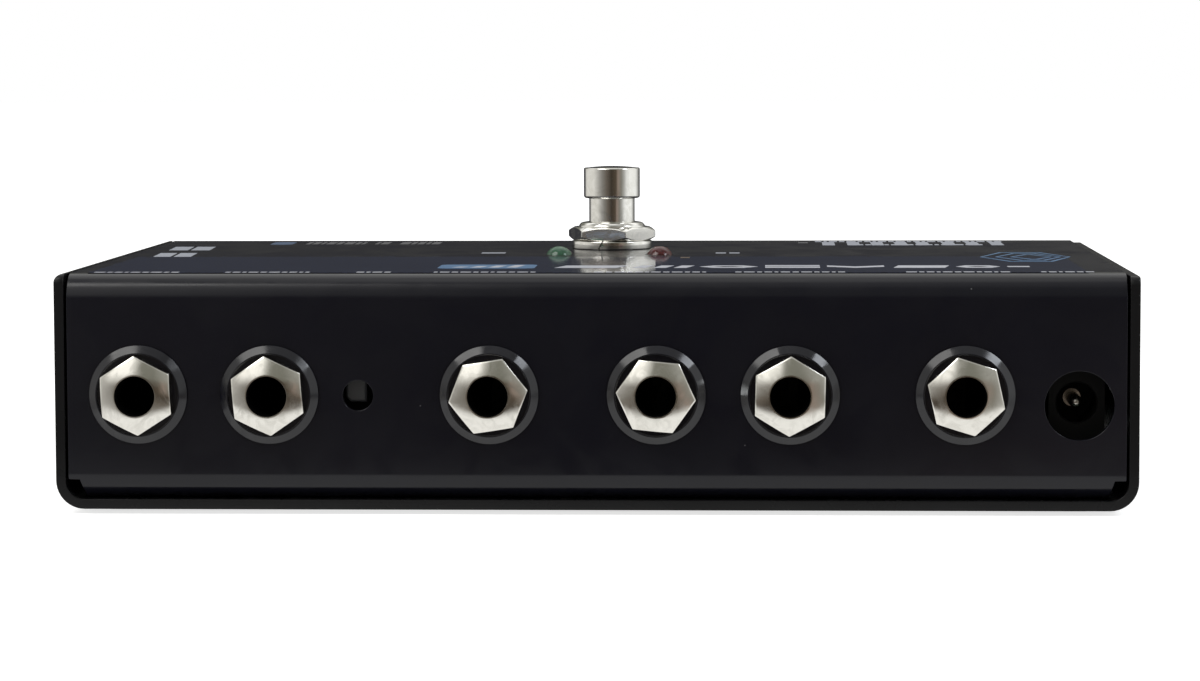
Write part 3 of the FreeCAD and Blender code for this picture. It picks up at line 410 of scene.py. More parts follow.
@dataclass(frozen=True)
class PowderCoat(Skin):
    """Baked powder paint: dark and satin, with a few specks of dust."""

    unevenness: float = 1.4
    smear_mm: float = 14.0
    duller: float = 0.05
    glossier: float = 0.03
    speck: Colour = (0.12, 0.12, 0.12)
    dust_spacing_mm: float = 4.0
    dust_mm: float = 0.11
    dust_share: float = 0.10

    def cover(self, sheet: NodeSheet, tone: bpy.types.NodeSocket) -> bpy.types.NodeSocket:
        """The paint's tone with the dust that lies on it."""
        dust = BENCH.place(sheet, Effect.DUST, Spacing_mm=self.dust_spacing_mm, Speck_mm=self.dust_mm,
                           Share=self.dust_share)
        return sheet.blend(dust.outputs["Mask"], tone, self.speck)


@dataclass(frozen=True)
class Plating(Finish):
    """Bright plated or bare metal, with smears that dull it and hairlines from turning or drawing."""

    colour: Colour
    dull: Colour
    roughness: float
    smear: float = 0.10
    smear_mm: float = 2.5
    hairline_mm: float = 0.12
    depth_mm: float = 0.0004

    def dress(self, sheet: NodeSheet, shader: bpy.types.Node) -> None:
        """Joins smears and hairlines to the shader.

        Args:
            sheet: the material's node sheet.
            shader: its Principled BSDF.
        """
        marks = BENCH.place(sheet, Effect.HANDLING, Smear_mm=self.smear_mm, Hairline_mm=self.hairline_mm)
        shader.inputs["Metallic"].default_value = 1.0
        rough = sheet.fade(marks.outputs["Smear"], self.roughness, self.roughness + self.smear)
        lay(sheet, shader, sheet.blend(marks.outputs["Smear"], self.colour, self.dull), rough,
            marks.outputs["Hairline"], self.depth_mm)


@dataclass(frozen=True)
class TintedLens(Finish):
    """The clear tinted resin of an LED, a little cloudy deep inside."""

    colour: Colour
    deep: Colour
    cloud_mm: float = 1.2
    unevenness: float = 1.5
    smear_mm: float = 1.5
    clearness: float = 0.85
    refraction: float = 1.52
    roughness: Point2 = (0.02, 0.09)
    depth_mm: float = 0.002

    def dress(self, sheet: NodeSheet, shader: bpy.types.Node) -> None:
        """Joins the tint and the moulding's faint ripple to the shader.

        Args:
            sheet: the material's node sheet.
            shader: its Principled BSDF.
        """
        grain = BENCH.place(sheet, Effect.GRAIN, Size_mm=self.cloud_mm, Unevenness=self.unevenness)
        marks = BENCH.place(sheet, Effect.HANDLING, Smear_mm=self.smear_mm)
        shader.inputs["Transmission Weight"].default_value = self.clearness
        shader.inputs["IOR"].default_value = self.refraction
        lay(sheet, shader, sheet.blend(grain.outputs["Tone"], self.deep, self.colour),
            sheet.fade(marks.outputs["Smear"], *self.roughness), grain.outputs["Height"], self.depth_mm)


@dataclass(frozen=True)
class ScreenInk(Finish):
    """Screen-printed ink: flat, with pinholes and a slightly uneven film."""

    colour: Colour
    thin: Colour
    roughness: float = 0.36
    thin_roughness: float = 1.25
    film_mm: float = 0.35
    unevenness: float = 2.4
    depth_mm: float = 0.005

    def dress(self, sheet: NodeSheet, shader: bpy.types.Node) -> None:
        """Joins the film's unevenness to the shader.

        Args:
            sheet: the material's node sheet.
            shader: its Principled BSDF.
        """
        grain = BENCH.place(sheet, Effect.GRAIN, Size_mm=self.film_mm, Unevenness=self.unevenness)
        rough = sheet.fade(grain.outputs["Tone"], self.roughness * self.thin_roughness, self.roughness)
        lay(sheet, shader, sheet.blend(grain.outputs["Tone"], self.thin, self.colour), rough,
            grain.outputs["Height"], self.depth_mm)


@dataclass(frozen=True)
class Laminate(Finish):
    """A circuit board's solder mask, with tracks under it that show a little paler."""

    colour: Colour = (0.004, 0.055, 0.022)
    track: Colour = (0.010, 0.11, 0.045)
    track_spacing_mm: float = 9.0
    grain_mm: float = 0.8
    unevenness: float = 1.0
    roughness: Point2 = (0.28, 0.40)
    depth_mm: float = 0.03

    def dress(self, sheet: NodeSheet, shader: bpy.types.Node) -> None:
        """Joins a pattern of tracks to the shader.

        Args:
            sheet: the material's node sheet.
            shader: its Principled BSDF.
        """
        place = sheet.add("ShaderNodeTexCoord")
        weave = sheet.add("ShaderNodeTexBrick", in_Vector=place.outputs["Object"],
                          in_Scale=1.0 / (self.track_spacing_mm * MM), in_Color1=(0.0, 0.0, 0.0, 1.0),
                          in_Color2=(0.0, 0.0, 0.0, 1.0), in_Mortar=(1.0, 1.0, 1.0, 1.0), in_Mortar_Size=0.07,
                          in_Mortar_Smooth=0.1)
        grain = BENCH.place(sheet, Effect.GRAIN, Size_mm=self.grain_mm, Unevenness=self.unevenness)
        lay(sheet, shader, sheet.blend(weave.outputs["Fac"], self.colour, self.track),
            sheet.fade(grain.outputs["Tone"], *self.roughness), weave.outputs["Fac"], self.depth_mm)


@dataclass(frozen=True)
class BandedCoat(Finish):
    """A resistor's coat with its coloured rings, ruled across the board's depth."""

    coat: Colour = (0.16, 0.32, 0.45)
    ring: Colour = (0.25, 0.06, 0.02)
    centre_y: float = 0.0
    spacing: float = 1.1 * MM
    ring_share: float = 0.18
    half_length: float = 2.4 * MM
    grain_mm: float = 0.3
    unevenness: float = 1.2
    roughness: Point2 = (0.3, 0.42)
    depth_mm: float = 0.01

    def dress(self, sheet: NodeSheet, shader: bpy.types.Node) -> None:
        """Joins the rings and a faint grain to the shader.

        Args:
            sheet: the material's node sheet.
            shader: its Principled BSDF.
        """
        place = sheet.add("ShaderNodeTexCoord")
        parts = sheet.add("ShaderNodeSeparateXYZ", in_Vector=place.outputs["Object"])
        offset = sheet.maths("SUBTRACT", parts.outputs["Y"], self.centre_y)
        steps = sheet.maths("PINGPONG", offset, self.spacing / 2)
        ring = sheet.maths("LESS_THAN", steps, self.spacing * self.ring_share)
        near = sheet.maths("LESS_THAN", sheet.maths("ABSOLUTE", offset), self.half_length)
        grain = BENCH.place(sheet, Effect.GRAIN, Size_mm=self.grain_mm, Unevenness=self.unevenness)
        lay(sheet, shader, sheet.blend(sheet.maths("MULTIPLY", ring, near), self.coat, self.ring),
            sheet.fade(grain.outputs["Tone"], *self.roughness), grain.outputs["Height"], self.depth_mm)


# Mesh helpers

def object_from(name: str, mesh: bpy.types.Mesh, finish: Finish | None = None) -> bpy.types.Object:
    """Links a mesh as an object at the origin.

    Args:
        name: the piece's name.
        mesh: its mesh.
        finish: its finish, if it isn't set yet.

    Returns:
        The object.
    """
    mesh.name = name
    piece = bpy.data.objects.new(name, mesh)
    bpy.context.scene.collection.objects.link(piece)
    if finish is not None:
        mesh.materials.clear()
        mesh.materials.append(finish.material())
    return piece


def keep_flats(holder: bpy.types.Object) -> None:
    """Keeps an object's large faces flat under smooth shading.

    Args:
        holder: the object, which gets a modifier.
    """
    flats = holder.modifiers.new("flats", "WEIGHTED_NORMAL")
    flats.mode = "FACE_AREA"
    flats.keep_sharp = True


def shade(mesh: bpy.types.Mesh, degrees: float = CRISP) -> bpy.types.Mesh:
    """Shades a mesh smoothly, except across edges sharper than an angle, and keeps its large faces flat.

    Args:
        mesh: the mesh, which is used up.
        degrees: the angle past which an edge stays crisp.

    Returns:
        The shaded mesh.
    """
    mesh.shade_smooth()
    mesh.set_sharp_from_angle(angle=math.radians(degrees))
    holder = object_from("shading_blank", mesh)
    keep_flats(holder)
    return plain_mesh(holder)


def mesh_of(shape: bmesh.types.BMesh, degrees: float = CRISP) -> bpy.types.Mesh:
    """Closes a bmesh into a mesh with its normals outwards.

    Args:
        shape: the bmesh, which is freed.
        degrees: the angle past which an edge stays crisp.

    Returns:
        The mesh.
    """
    bmesh.ops.remove_doubles(shape, verts=shape.verts, dist=WELD)
    bmesh.ops.recalc_face_normals(shape, faces=shape.faces)
    mesh = bpy.data.meshes.new("piece")
    shape.to_mesh(mesh)
    shape.free()
    return shade(mesh, degrees)


def rounded(corners: Sequence[tuple[float, float, float]], steps: int = 4) -> list[Point2]:
    """Turns a closed outline's corners into arcs.

    Args:
        corners: across, height and corner radius of each corner, in order.
        steps: how many steps an arc has.

    Returns:
        The outline's points, closed from last to first.
    """
    points: list[Point2] = []
    count = len(corners)
    for index, (across, height, radius) in enumerate(corners):
        here = Vector((across, height))
        before = Vector(corners[index - 1][:2]) - here
        after = Vector(corners[(index + 1) % count][:2]) - here
        turn = before.angle(after) if before.length and after.length else math.pi
        if radius <= 0.0 or turn > math.radians(179.0):
            points.append((across, height))
            continue
        cut = min(radius / math.tan(turn / 2), 0.49 * before.length, 0.49 * after.length)
        radius = cut * math.tan(turn / 2)
        centre = here + (before.normalized() + after.normalized()).normalized() * (radius / math.sin(turn / 2))
        start = here + before.normalized() * cut - centre
        sweep = math.pi - turn
        side = 1.0 if start.x * (here - centre).y - start.y * (here - centre).x > 0 else -1.0
        for step in range(steps + 1):
            angle = side * sweep * step / steps
            turned = Vector((start.x * math.cos(angle) - start.y * math.sin(angle),
                             start.x * math.sin(angle) + start.y * math.cos(angle)))
            points.append(tuple(centre + turned))
    return points


def bridge(shape: bmesh.types.BMesh, first: Sequence[bmesh.types.BMVert],
           second: Sequence[bmesh.types.BMVert]) -> None:
    """Joins two closed loops of as many vertices with a strip of faces.

    Args:
        shape: the body that holds them.
        first: one loop.
        second: the other.
    """
    for index in range(len(first)):
        after = (index + 1) % len(first)
        shape.faces.new((first[index], first[after], second[after], second[index]))


def turned_point(radius: float, angle: float, height: float) -> tuple[float, float, float]:
    """A point in metres from its radius, angle and height about the Z axis, in mm."""
    return radius * math.cos(angle) * MM, radius * math.sin(angle) * MM, height * MM


def even_angles(count: int) -> list[float]:
    """Evenly spaced angles round a full turn."""
    return [math.tau * step / count for step in range(count)]


def ring_body(rings: Sequence[Ring], angles: Sequence[float]) -> bmesh.types.BMesh:
    """A closed body of rings joined in a loop, each with its own radius and height at each angle.

    Args:
        rings: functions from angle to (radius, height), in mm; the last joins the first.
        angles: the angles, in order round the turn.

    Returns:
        The body as a bmesh in metres about the Z axis.
    """
    shape = bmesh.new()
    grid = []
    for ring in rings:
        row = []
        for angle in angles:
            radius, height = ring(angle)
            row.append(shape.verts.new(turned_point(radius, angle, height)))
        grid.append(row)
    for number, row in enumerate(grid):
        bridge(shape, grid[number - 1], row)
    bmesh.ops.remove_doubles(shape, verts=shape.verts, dist=WELD)
    bmesh.ops.dissolve_degenerate(shape, edges=shape.edges, dist=SLIVER)
    return shape


def lathe(outline: Sequence[Point2], segments: int = 96) -> bmesh.types.BMesh:
    """A body turned about Z from a closed outline of (radius, height) points, in mm.

    Args:
        outline: the points in order, closed from last to first.
        segments: steps round the turn.

    Returns:
        The body as a bmesh.
    """
    rings = [lambda angle, point=point: point for point in outline]
    return ring_body(rings, even_angles(segments))


@dataclass(frozen=True)
class SidedBar:
    """The outline of a bar with flat sides and slightly rounded corners, such as a hexagon."""

    sides: int
    across_flats: float
    corner_round: float

    @property
    def apothem(self) -> float:
        """Distance from the axis to a flat."""
        return self.across_flats / 2

    @property
    def half_sector(self) -> float:
        """Half the angle that one side spans."""
        return math.pi / self.sides

    def corner_reach(self) -> float:
        """Distance from the axis to the middle of a corner's arc."""
        return (self.apothem - self.corner_round) / math.cos(self.half_sector)

    def round_angle(self) -> float:
        """How far to each side of a corner its arc reaches, as an angle."""
        lean = self.half_sector
        return math.atan2(self.corner_round * math.sin(lean),
                          self.corner_reach() + self.corner_round * math.cos(lean))

    def radius(self, angle: float) -> float:
        """The outline's radius at an angle measured from a corner.

        Args:
            angle: the angle in radians.

        Returns:
            The radius in mm.
        """
        sector = 2 * self.half_sector
        off = (angle + self.half_sector) % sector - self.half_sector
        if abs(off) < self.round_angle():
            reach = self.corner_reach()
            root = self.corner_round ** 2 - (reach * math.sin(off)) ** 2
            return reach * math.cos(off) + math.sqrt(max(root, 0.0))
        return self.apothem / math.cos(self.half_sector - abs(off))

    def angles(self, per_side: int) -> list[float]:
        """Angles that follow the outline, closer together at its corners.

        Args:
            per_side: steps along one flat.

        Returns:
            The angles, in order.
        """
        edge = self.round_angle()
        found = []
        for side in range(self.sides):
            corner = 2 * self.half_sector * side
            found += [corner + edge * part for part in (-1.0, -0.5, 0.0, 0.5)]
            flat = 2 * self.half_sector - 2 * edge
            found += [corner + edge + flat * step / per_side for step in range(per_side)]
        return found


def shift(shape: bmesh.types.BMesh, spot: Vector) -> bmesh.types.BMesh:
    """Moves a body by a vector in metres and returns it."""
    bmesh.ops.translate(shape, verts=shape.verts, vec=spot)
    return shape


def spin(shape: bmesh.types.BMesh, degrees: float) -> bmesh.types.BMesh:
    """Turns a body about the Z axis and returns it."""
    bmesh.ops.rotate(shape, verts=shape.verts, cent=(0, 0, 0),
                     matrix=Matrix.Rotation(math.radians(degrees), 3, "Z"))
    return shape


def join(shapes: Iterable[bmesh.types.BMesh]) -> bmesh.types.BMesh:
    """Puts several bodies into one bmesh without merging them.

    Args:
        shapes: the bodies, which are freed.

    Returns:
        One bmesh that holds them all.
    """
    whole = bmesh.new()
    for shape in shapes:
        part = bpy.data.meshes.new("part")
        bmesh.ops.recalc_face_normals(shape, faces=shape.faces)
        shape.to_mesh(part)
        shape.free()
        whole.from_mesh(part)
        bpy.data.meshes.remove(part)
    return whole


def plain_mesh(holder: bpy.types.Object) -> bpy.types.Mesh:
    """The mesh that an object's modifiers make, with the object itself removed.

    Args:
        holder: the object.

    Returns:
        A mesh of its own.
    """
    graph = bpy.context.evaluated_depsgraph_get()
    graph.update()
    mesh = bpy.data.meshes.new_from_object(holder.evaluated_get(graph), preserve_all_data_layers=True,
                                           depsgraph=graph)
    holder.modifiers.clear()
    old = holder.data
    bpy.data.objects.remove(holder)
    if old.users == 0 and isinstance(old, bpy.types.Mesh):
        bpy.data.meshes.remove(old)
    return mesh


def cad_shape(nodes: Sequence[str]) -> bmesh.types.BMesh:
    """The welded shape of some CAD nodes.

    Args:
        nodes: the CAD nodes.

    Returns:
        One bmesh that holds them all.
    """
    shape = bmesh.new()
    for node in nodes:
        shape.from_mesh(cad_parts[node].data)
    bmesh.ops.remove_doubles(shape, verts=shape.verts, dist=CAD_WELD)
    return shape


def eased_copy(nodes: Sequence[str], name: str, finish: Finish, ease_mm: float = 0.12,
               degrees: float = CRISP) -> bpy.types.Object:
    """A piece with the CAD nodes' own shape and its edges eased, which stands for them.

    Args:
        nodes: the CAD nodes.
        name: the piece's name.
        finish: its finish.
        ease_mm: width of the eased edges.
        degrees: the angle past which an edge is eased.

    Returns:
        The piece.
    """
    shape = cad_shape(nodes)
    bmesh.ops.dissolve_limit(shape, angle_limit=math.radians(SAME_PLANE), verts=shape.verts, edges=shape.edges,
                             use_dissolve_boundaries=False)
    mesh = bpy.data.meshes.new(name)
    shape.to_mesh(mesh)
    shape.free()
    mesh.shade_smooth()
    holder = object_from(name + "_blank", mesh)
    ease = holder.modifiers.new("ease", "BEVEL")
    ease.width = ease_mm * MM
    ease.segments = 2
    ease.limit_method = "ANGLE"
    ease.angle_limit = math.radians(degrees)
    keep_flats(holder)
    piece = object_from(name, plain_mesh(holder), finish)
    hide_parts(*nodes)
    return piece


# Geometry Nodes

class Spread:
    """A Geometry Nodes tree that sets a template at each marked point, turned as the point says."""

    TREE = "spread_over_points"

    def tree(self) -> bpy.types.NodeTree:
        """The tree, built on first use.

        Returns:
            The tree.
        """
        made = bpy.data.node_groups.get(self.TREE)
        if made is not None:
            return made
        made = bpy.data.node_groups.new(self.TREE, "GeometryNodeTree")
        sheet, given, out = open_group(made, {"Points": "Geometry", "Template": "Object", "Finish": "Material",
                                              "Overall Size": 1.0}, {"Geometry": "Geometry"})
        template = sheet.add("GeometryNodeObjectInfo", in_Object=given.outputs["Template"])
        turn = sheet.add("GeometryNodeInputNamedAttribute", data_type="FLOAT_VECTOR", in_Name="turn")
        points = sheet.add("GeometryNodeInstanceOnPoints", in_Points=given.outputs["Points"],
                           in_Instance=template.outputs["Geometry"], in_Rotation=turn.outputs["Attribute"],
                           in_Scale=given.outputs["Overall Size"])
        real = sheet.add("GeometryNodeRealizeInstances", in_Geometry=points.outputs[0])
        dressed = sheet.add("GeometryNodeSetMaterial", in_Geometry=real.outputs[0],
                            in_Material=given.outputs["Finish"])
        sheet.feed(out.inputs["Geometry"], dressed.outputs[0])
        return made

    def make(self, name: str, template: bmesh.types.BMesh, spots: Sequence[Vector], finish: Finish,
             turns: Sequence[Vector] | None = None) -> bpy.types.Object:
        """Spreads a template over points as one plain mesh.

        Args:
            name: the piece's name.
            template: the body to repeat, about the origin; it is freed.
            spots: where each copy goes, in metres.
            finish: the piece's finish.
            turns: each copy's turn as Euler angles.

        Returns:
            The piece.
        """
        pattern = object_from(name + "_template", mesh_of(template), finish)
        points = bpy.data.meshes.new(name + "_points")
        points.from_pydata([tuple(spot) for spot in spots], [], [])
        layer = points.attributes.new("turn", "FLOAT_VECTOR", "POINT")
        for index in range(len(spots)):
            layer.data[index].vector = turns[index] if turns else (0.0, 0.0, 0.0)
        holder = object_from(name + "_holder", points)
        modifier = holder.modifiers.new("spread", "NODES")
        modifier.node_group = self.tree()
        values = {"Template": pattern, "Finish": finish.material(), "Overall Size": 1.0}
        for item in modifier.node_group.interface.items_tree:
            if item.in_out == "INPUT" and item.name in values:
                modifier[item.identifier] = values[item.name]
        mesh = shade(plain_mesh(holder))
        old = pattern.data
        bpy.data.objects.remove(pattern)
        bpy.data.meshes.remove(old)
        return object_from(name, mesh)


SPREAD = Spread()


def report(piece: bpy.types.Object, body: str) -> bpy.types.Object:
    """Fastens a finished piece to its body and logs it.

    Args:
        piece: the piece.
        body: the CAD body that it moves with.

    Returns:
        The same piece.
    """
    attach(piece, body)
    log.info("%s on %s: %d faces", piece.name, body, len(piece.data.polygons))
    return piece


# Finishes of this object

COVER_PAINT = PowderCoat("cover_powder_coat", colour=(0.005, 0.005, 0.0085), pale=(0.0075, 0.0075, 0.0115),
                         grain_mm=0.32, depth_mm=0.002, roughness=0.18, specular=0.34)
SHELL_PAINT = PowderCoat("shell_powder_coat", colour=(0.006, 0.006, 0.0065), pale=(0.009, 0.009, 0.0095),
                         grain_mm=0.4, depth_mm=0.003, roughness=0.26, specular=0.18)
PAD_RUBBER = Skin("pad_rubber", colour=(0.010, 0.010, 0.010), roughness=0.85, grain_mm=0.9, depth_mm=0.06)
NICKEL = Plating("nickel_plating", colour=(0.83, 0.81, 0.76), dull=(0.74, 0.72, 0.67), roughness=0.15)
BRIGHT_PLATE = Plating("bright_plate", colour=(0.84, 0.83, 0.80), dull=(0.76, 0.75, 0.71), roughness=0.07,
                       smear=0.07)
ZINC = Plating("zinc_plating", colour=(0.62, 0.61, 0.58), dull=(0.48, 0.47, 0.44), roughness=0.30)
BLACK_OXIDE = Plating("black_oxide", colour=(0.05, 0.05, 0.052), dull=(0.03, 0.03, 0.03), roughness=0.34)
TIN = Plating("tin_plating", colour=(0.70, 0.69, 0.66), dull=(0.52, 0.51, 0.48), roughness=0.26)
# Tin of the jack contacts, painted near black: painted shade for the dark inside of the jack bores.
SHADE_DARKENED_TIN = Plating("aged_tin", colour=(0.10, 0.10, 0.095), dull=(0.05, 0.05, 0.05), roughness=0.45)
PIN_PLATE = Plating("pin_plate", colour=(0.58, 0.56, 0.52), dull=(0.46, 0.44, 0.40), roughness=0.20)
AGED_BRASS = Plating("aged_brass", colour=(0.24, 0.15, 0.07), dull=(0.13, 0.08, 0.04), roughness=0.38)
SPRING_WIRE = Plating("spring_wire", colour=(0.55, 0.55, 0.56), dull=(0.42, 0.42, 0.43), roughness=0.22)
WASHER_BLACK = Skin("washer_black", colour=(0.004, 0.004, 0.007), pale=(0.007, 0.007, 0.011), roughness=0.13,
                    depth_mm=0.0006)
MOULDED_BLACK = Skin("moulded_black", colour=(0.003, 0.003, 0.003), pale=(0.005, 0.005, 0.005), roughness=0.5,
                     specular=0.15)
BUTTON_GREY = Skin("button_grey", colour=(0.05, 0.05, 0.052), pale=(0.07, 0.07, 0.072), roughness=0.35)
HOUSING_BLUE = Skin("housing_blue", colour=(0.010, 0.035, 0.14), pale=(0.02, 0.06, 0.2))
BASE_BROWN = Skin("base_brown", colour=(0.10, 0.035, 0.012), pale=(0.14, 0.05, 0.02))
SPACER_WHITE = Skin("spacer_white", colour=(0.55, 0.54, 0.5), pale=(0.64, 0.63, 0.6))
RELAY_WHITE = Skin("relay_white", colour=(0.52, 0.50, 0.44), pale=(0.60, 0.58, 0.52))
CORE_SHEETS = Skin("core_sheets", colour=(0.05, 0.05, 0.055), pale=(0.11, 0.11, 0.115), grain_mm=0.5,
                   depth_mm=0.05)
WINDING_TAPE = Skin("winding_tape", colour=(0.50, 0.32, 0.04), pale=(0.60, 0.40, 0.07), roughness=0.3)
CAN_SLEEVE = Skin("can_sleeve", colour=(0.008, 0.012, 0.03), pale=(0.014, 0.02, 0.045), roughness=0.25)
CHIP_EPOXY = Skin("chip_epoxy", colour=(0.012, 0.012, 0.012), roughness=0.6)
HEADER_WHITE = Skin("header_white", colour=(0.6, 0.57, 0.5), pale=(0.68, 0.65, 0.58))
WIRE_JACKET = Skin("wire_jacket", colour=(0.02, 0.02, 0.022), pale=(0.03, 0.03, 0.032), roughness=0.5)
BOARD_MASK = Laminate("board_mask")
GREEN_LENS = TintedLens("green_lens", colour=(0.20, 0.60, 0.34), deep=(0.12, 0.44, 0.23))
RED_LENS = TintedLens("red_lens", colour=(0.38, 0.015, 0.02), deep=(0.24, 0.008, 0.012))
WHITE_INK = ScreenInk("white_ink", colour=(0.58, 0.59, 0.64), thin=(0.38, 0.39, 0.44))
NAVY_INK = ScreenInk("navy_ink", colour=(0.026, 0.035, 0.066), thin=(0.020, 0.028, 0.055), roughness=0.07,
                     depth_mm=0.0012)
SKY_INK = ScreenInk("sky_ink", colour=(0.08, 0.19, 0.35), thin=(0.05, 0.13, 0.26))
SLATE_INK = ScreenInk("slate_ink", colour=(0.06, 0.11, 0.21), thin=(0.04, 0.075, 0.15))
AMBER_INK = ScreenInk("amber_ink", colour=(0.12, 0.075, 0.04), thin=(0.08, 0.05, 0.03))
DIM_INK = ScreenInk("dim_ink", colour=(0.12, 0.12, 0.13), thin=(0.07, 0.07, 0.08))
SILVER_INK = ScreenInk("silver_ink", colour=(0.42, 0.44, 0.50), thin=(0.28, 0.30, 0.35))


# Sub-assemblies

@dataclass
class Enclosure:
    """The folded cover, the folded shell, the pad and their fasteners."""

    edge_ease: float = 0.14
    cut_edge_ease: float = 0.22

    def build(self) -> None:
        """Makes and fastens the enclosure's pieces."""
        report(eased_copy(["top_cover"], "cover_sheet", COVER_PAINT, self.edge_ease), CASE)
        report(eased_copy(["base_shell"], "shell_sheet", SHELL_PAINT, self.cut_edge_ease), CASE)
        report(eased_copy(["base_pad"], "foot_pad", PAD_RUBBER, 0.1), CASE)
        report(eased_copy(["cover_screws"], "countersunk_screws", BLACK_OXIDE, 0.05), CASE)


@dataclass
class JackRow:
    """The nuts and washers of the jacks, set over their noses."""

    panel: float = -57.0
    axis: float = 19.4
    places: Sequence[float] = (-73.4, -52.2, -16.8, 10.0, 31.4, 59.3)
    turns: Sequence[float] = (32.8, 34.9, 8.8, 54.5, 28.6, 42.6)
    bore: float = 3.25
    thread: float = 4.6
    seat: float = 0.8
    top: float = 4.15
    corner_top: float = 2.95
    lip: float = 1.0
    dome: float = 0.135
    ease: float = 0.05
    brow_inset: float = 0.3
    brow_drop: float = 0.25
    crown_steps: int = 10
    flat_steps: int = 16
    nut: SidedBar = field(default_factory=lambda: SidedBar(6, 11.15, 0.22))
    washer_edge: float = 7.95
    washer_hole: float = 4.6
    rim_outer: float = 6.75
    rim_inner: float = 6.55
    rim_height: float = 1.45
    washer_thickness: float = 0.45
    washer_segments: int = 120

    def dome_height(self, radius: float) -> float:
        """Height of the nut's crowned face at a radius, on the arc from its corners to its bore.

        Args:
            radius: distance from the axis in mm.

        Returns:
            Height above the panel in mm.
        """
        corner = self.nut.across_flats / math.sqrt(3)
        part = (radius - self.bore) / (corner - self.bore)
        straight = self.top + (self.corner_top - self.top) * part
        return straight + self.dome * 4 * part * (1 - part)

    def nut_body(self) -> bmesh.types.BMesh:
        """One nut about the Z axis, its face crowned towards the bore.

        Returns:
            The nut.
        """
        bar, ease = self.nut, self.ease
        start = ease * self.brow_inset
        rings: list[Ring] = [lambda a: (self.thread, self.seat), lambda a: (self.thread, self.top - self.lip),
                             lambda a: (self.bore, self.top - self.lip), lambda a: (self.bore, self.top - ease),
                             lambda a: (self.bore + start, self.top - start)]
        inner = self.bore + ease
        for step in range(self.crown_steps + 1):

            def crown(angle: float, part: float = step / self.crown_steps) -> Point2:
                """A point of the crowned face."""
                radius = inner + (bar.radius(angle) - ease - inner) * part
                return radius, self.dome_height(radius)

            rings.append(crown)

        def brow(angle: float) -> Point2:
            """The eased edge between face and flat."""
            radius = bar.radius(angle)
            return radius - start, self.dome_height(radius) - ease * self.brow_drop

        rings += [brow, lambda a: (bar.radius(a), self.dome_height(bar.radius(a)) - ease),
                  lambda a: (bar.radius(a), self.seat + ease), lambda a: (bar.radius(a) - ease, self.seat)]
        return ring_body(rings, bar.angles(self.flat_steps))

    def washer_body(self) -> bmesh.types.BMesh:
        """One washer about the Z axis: a flat seat in a raised rim with a sloping outside."""
        outline = rounded([(self.washer_hole, 0.0, 0.0), (self.washer_edge, 0.0, 0.05),
                           (self.washer_edge, self.washer_thickness, 0.15),
                           (self.rim_outer, self.rim_height, 0.12), (self.rim_inner, self.rim_height, 0.08),
                           (self.rim_inner, self.seat, 0.1), (self.washer_hole, self.seat, 0.05)])
        return lathe(outline, self.washer_segments)

    def build(self) -> None:
        """Spreads nuts and washers over the row of jacks."""
        spots = [Vector((x, self.panel, self.axis)) * MM for x in self.places]
        outward = Matrix.Rotation(math.pi / 2, 3, "X")
        turned = [(outward @ Matrix.Rotation(math.radians(turn), 3, "Z")).to_euler() for turn in self.turns]
        nuts = SPREAD.make("jack_nuts", self.nut_body(), spots, NICKEL, turns=turned)
        numbers = range(1, len(self.places) + 1)
        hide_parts(*[f"jack_{number}_nut" for number in numbers])
        report(nuts, CASE)
        flat = [outward.to_euler() for _ in spots]
        washers = SPREAD.make("jack_washers", self.washer_body(), spots, WASHER_BLACK, turns=flat)
        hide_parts(*[f"jack_{number}_washer" for number in numbers])
        report(washers, CASE)


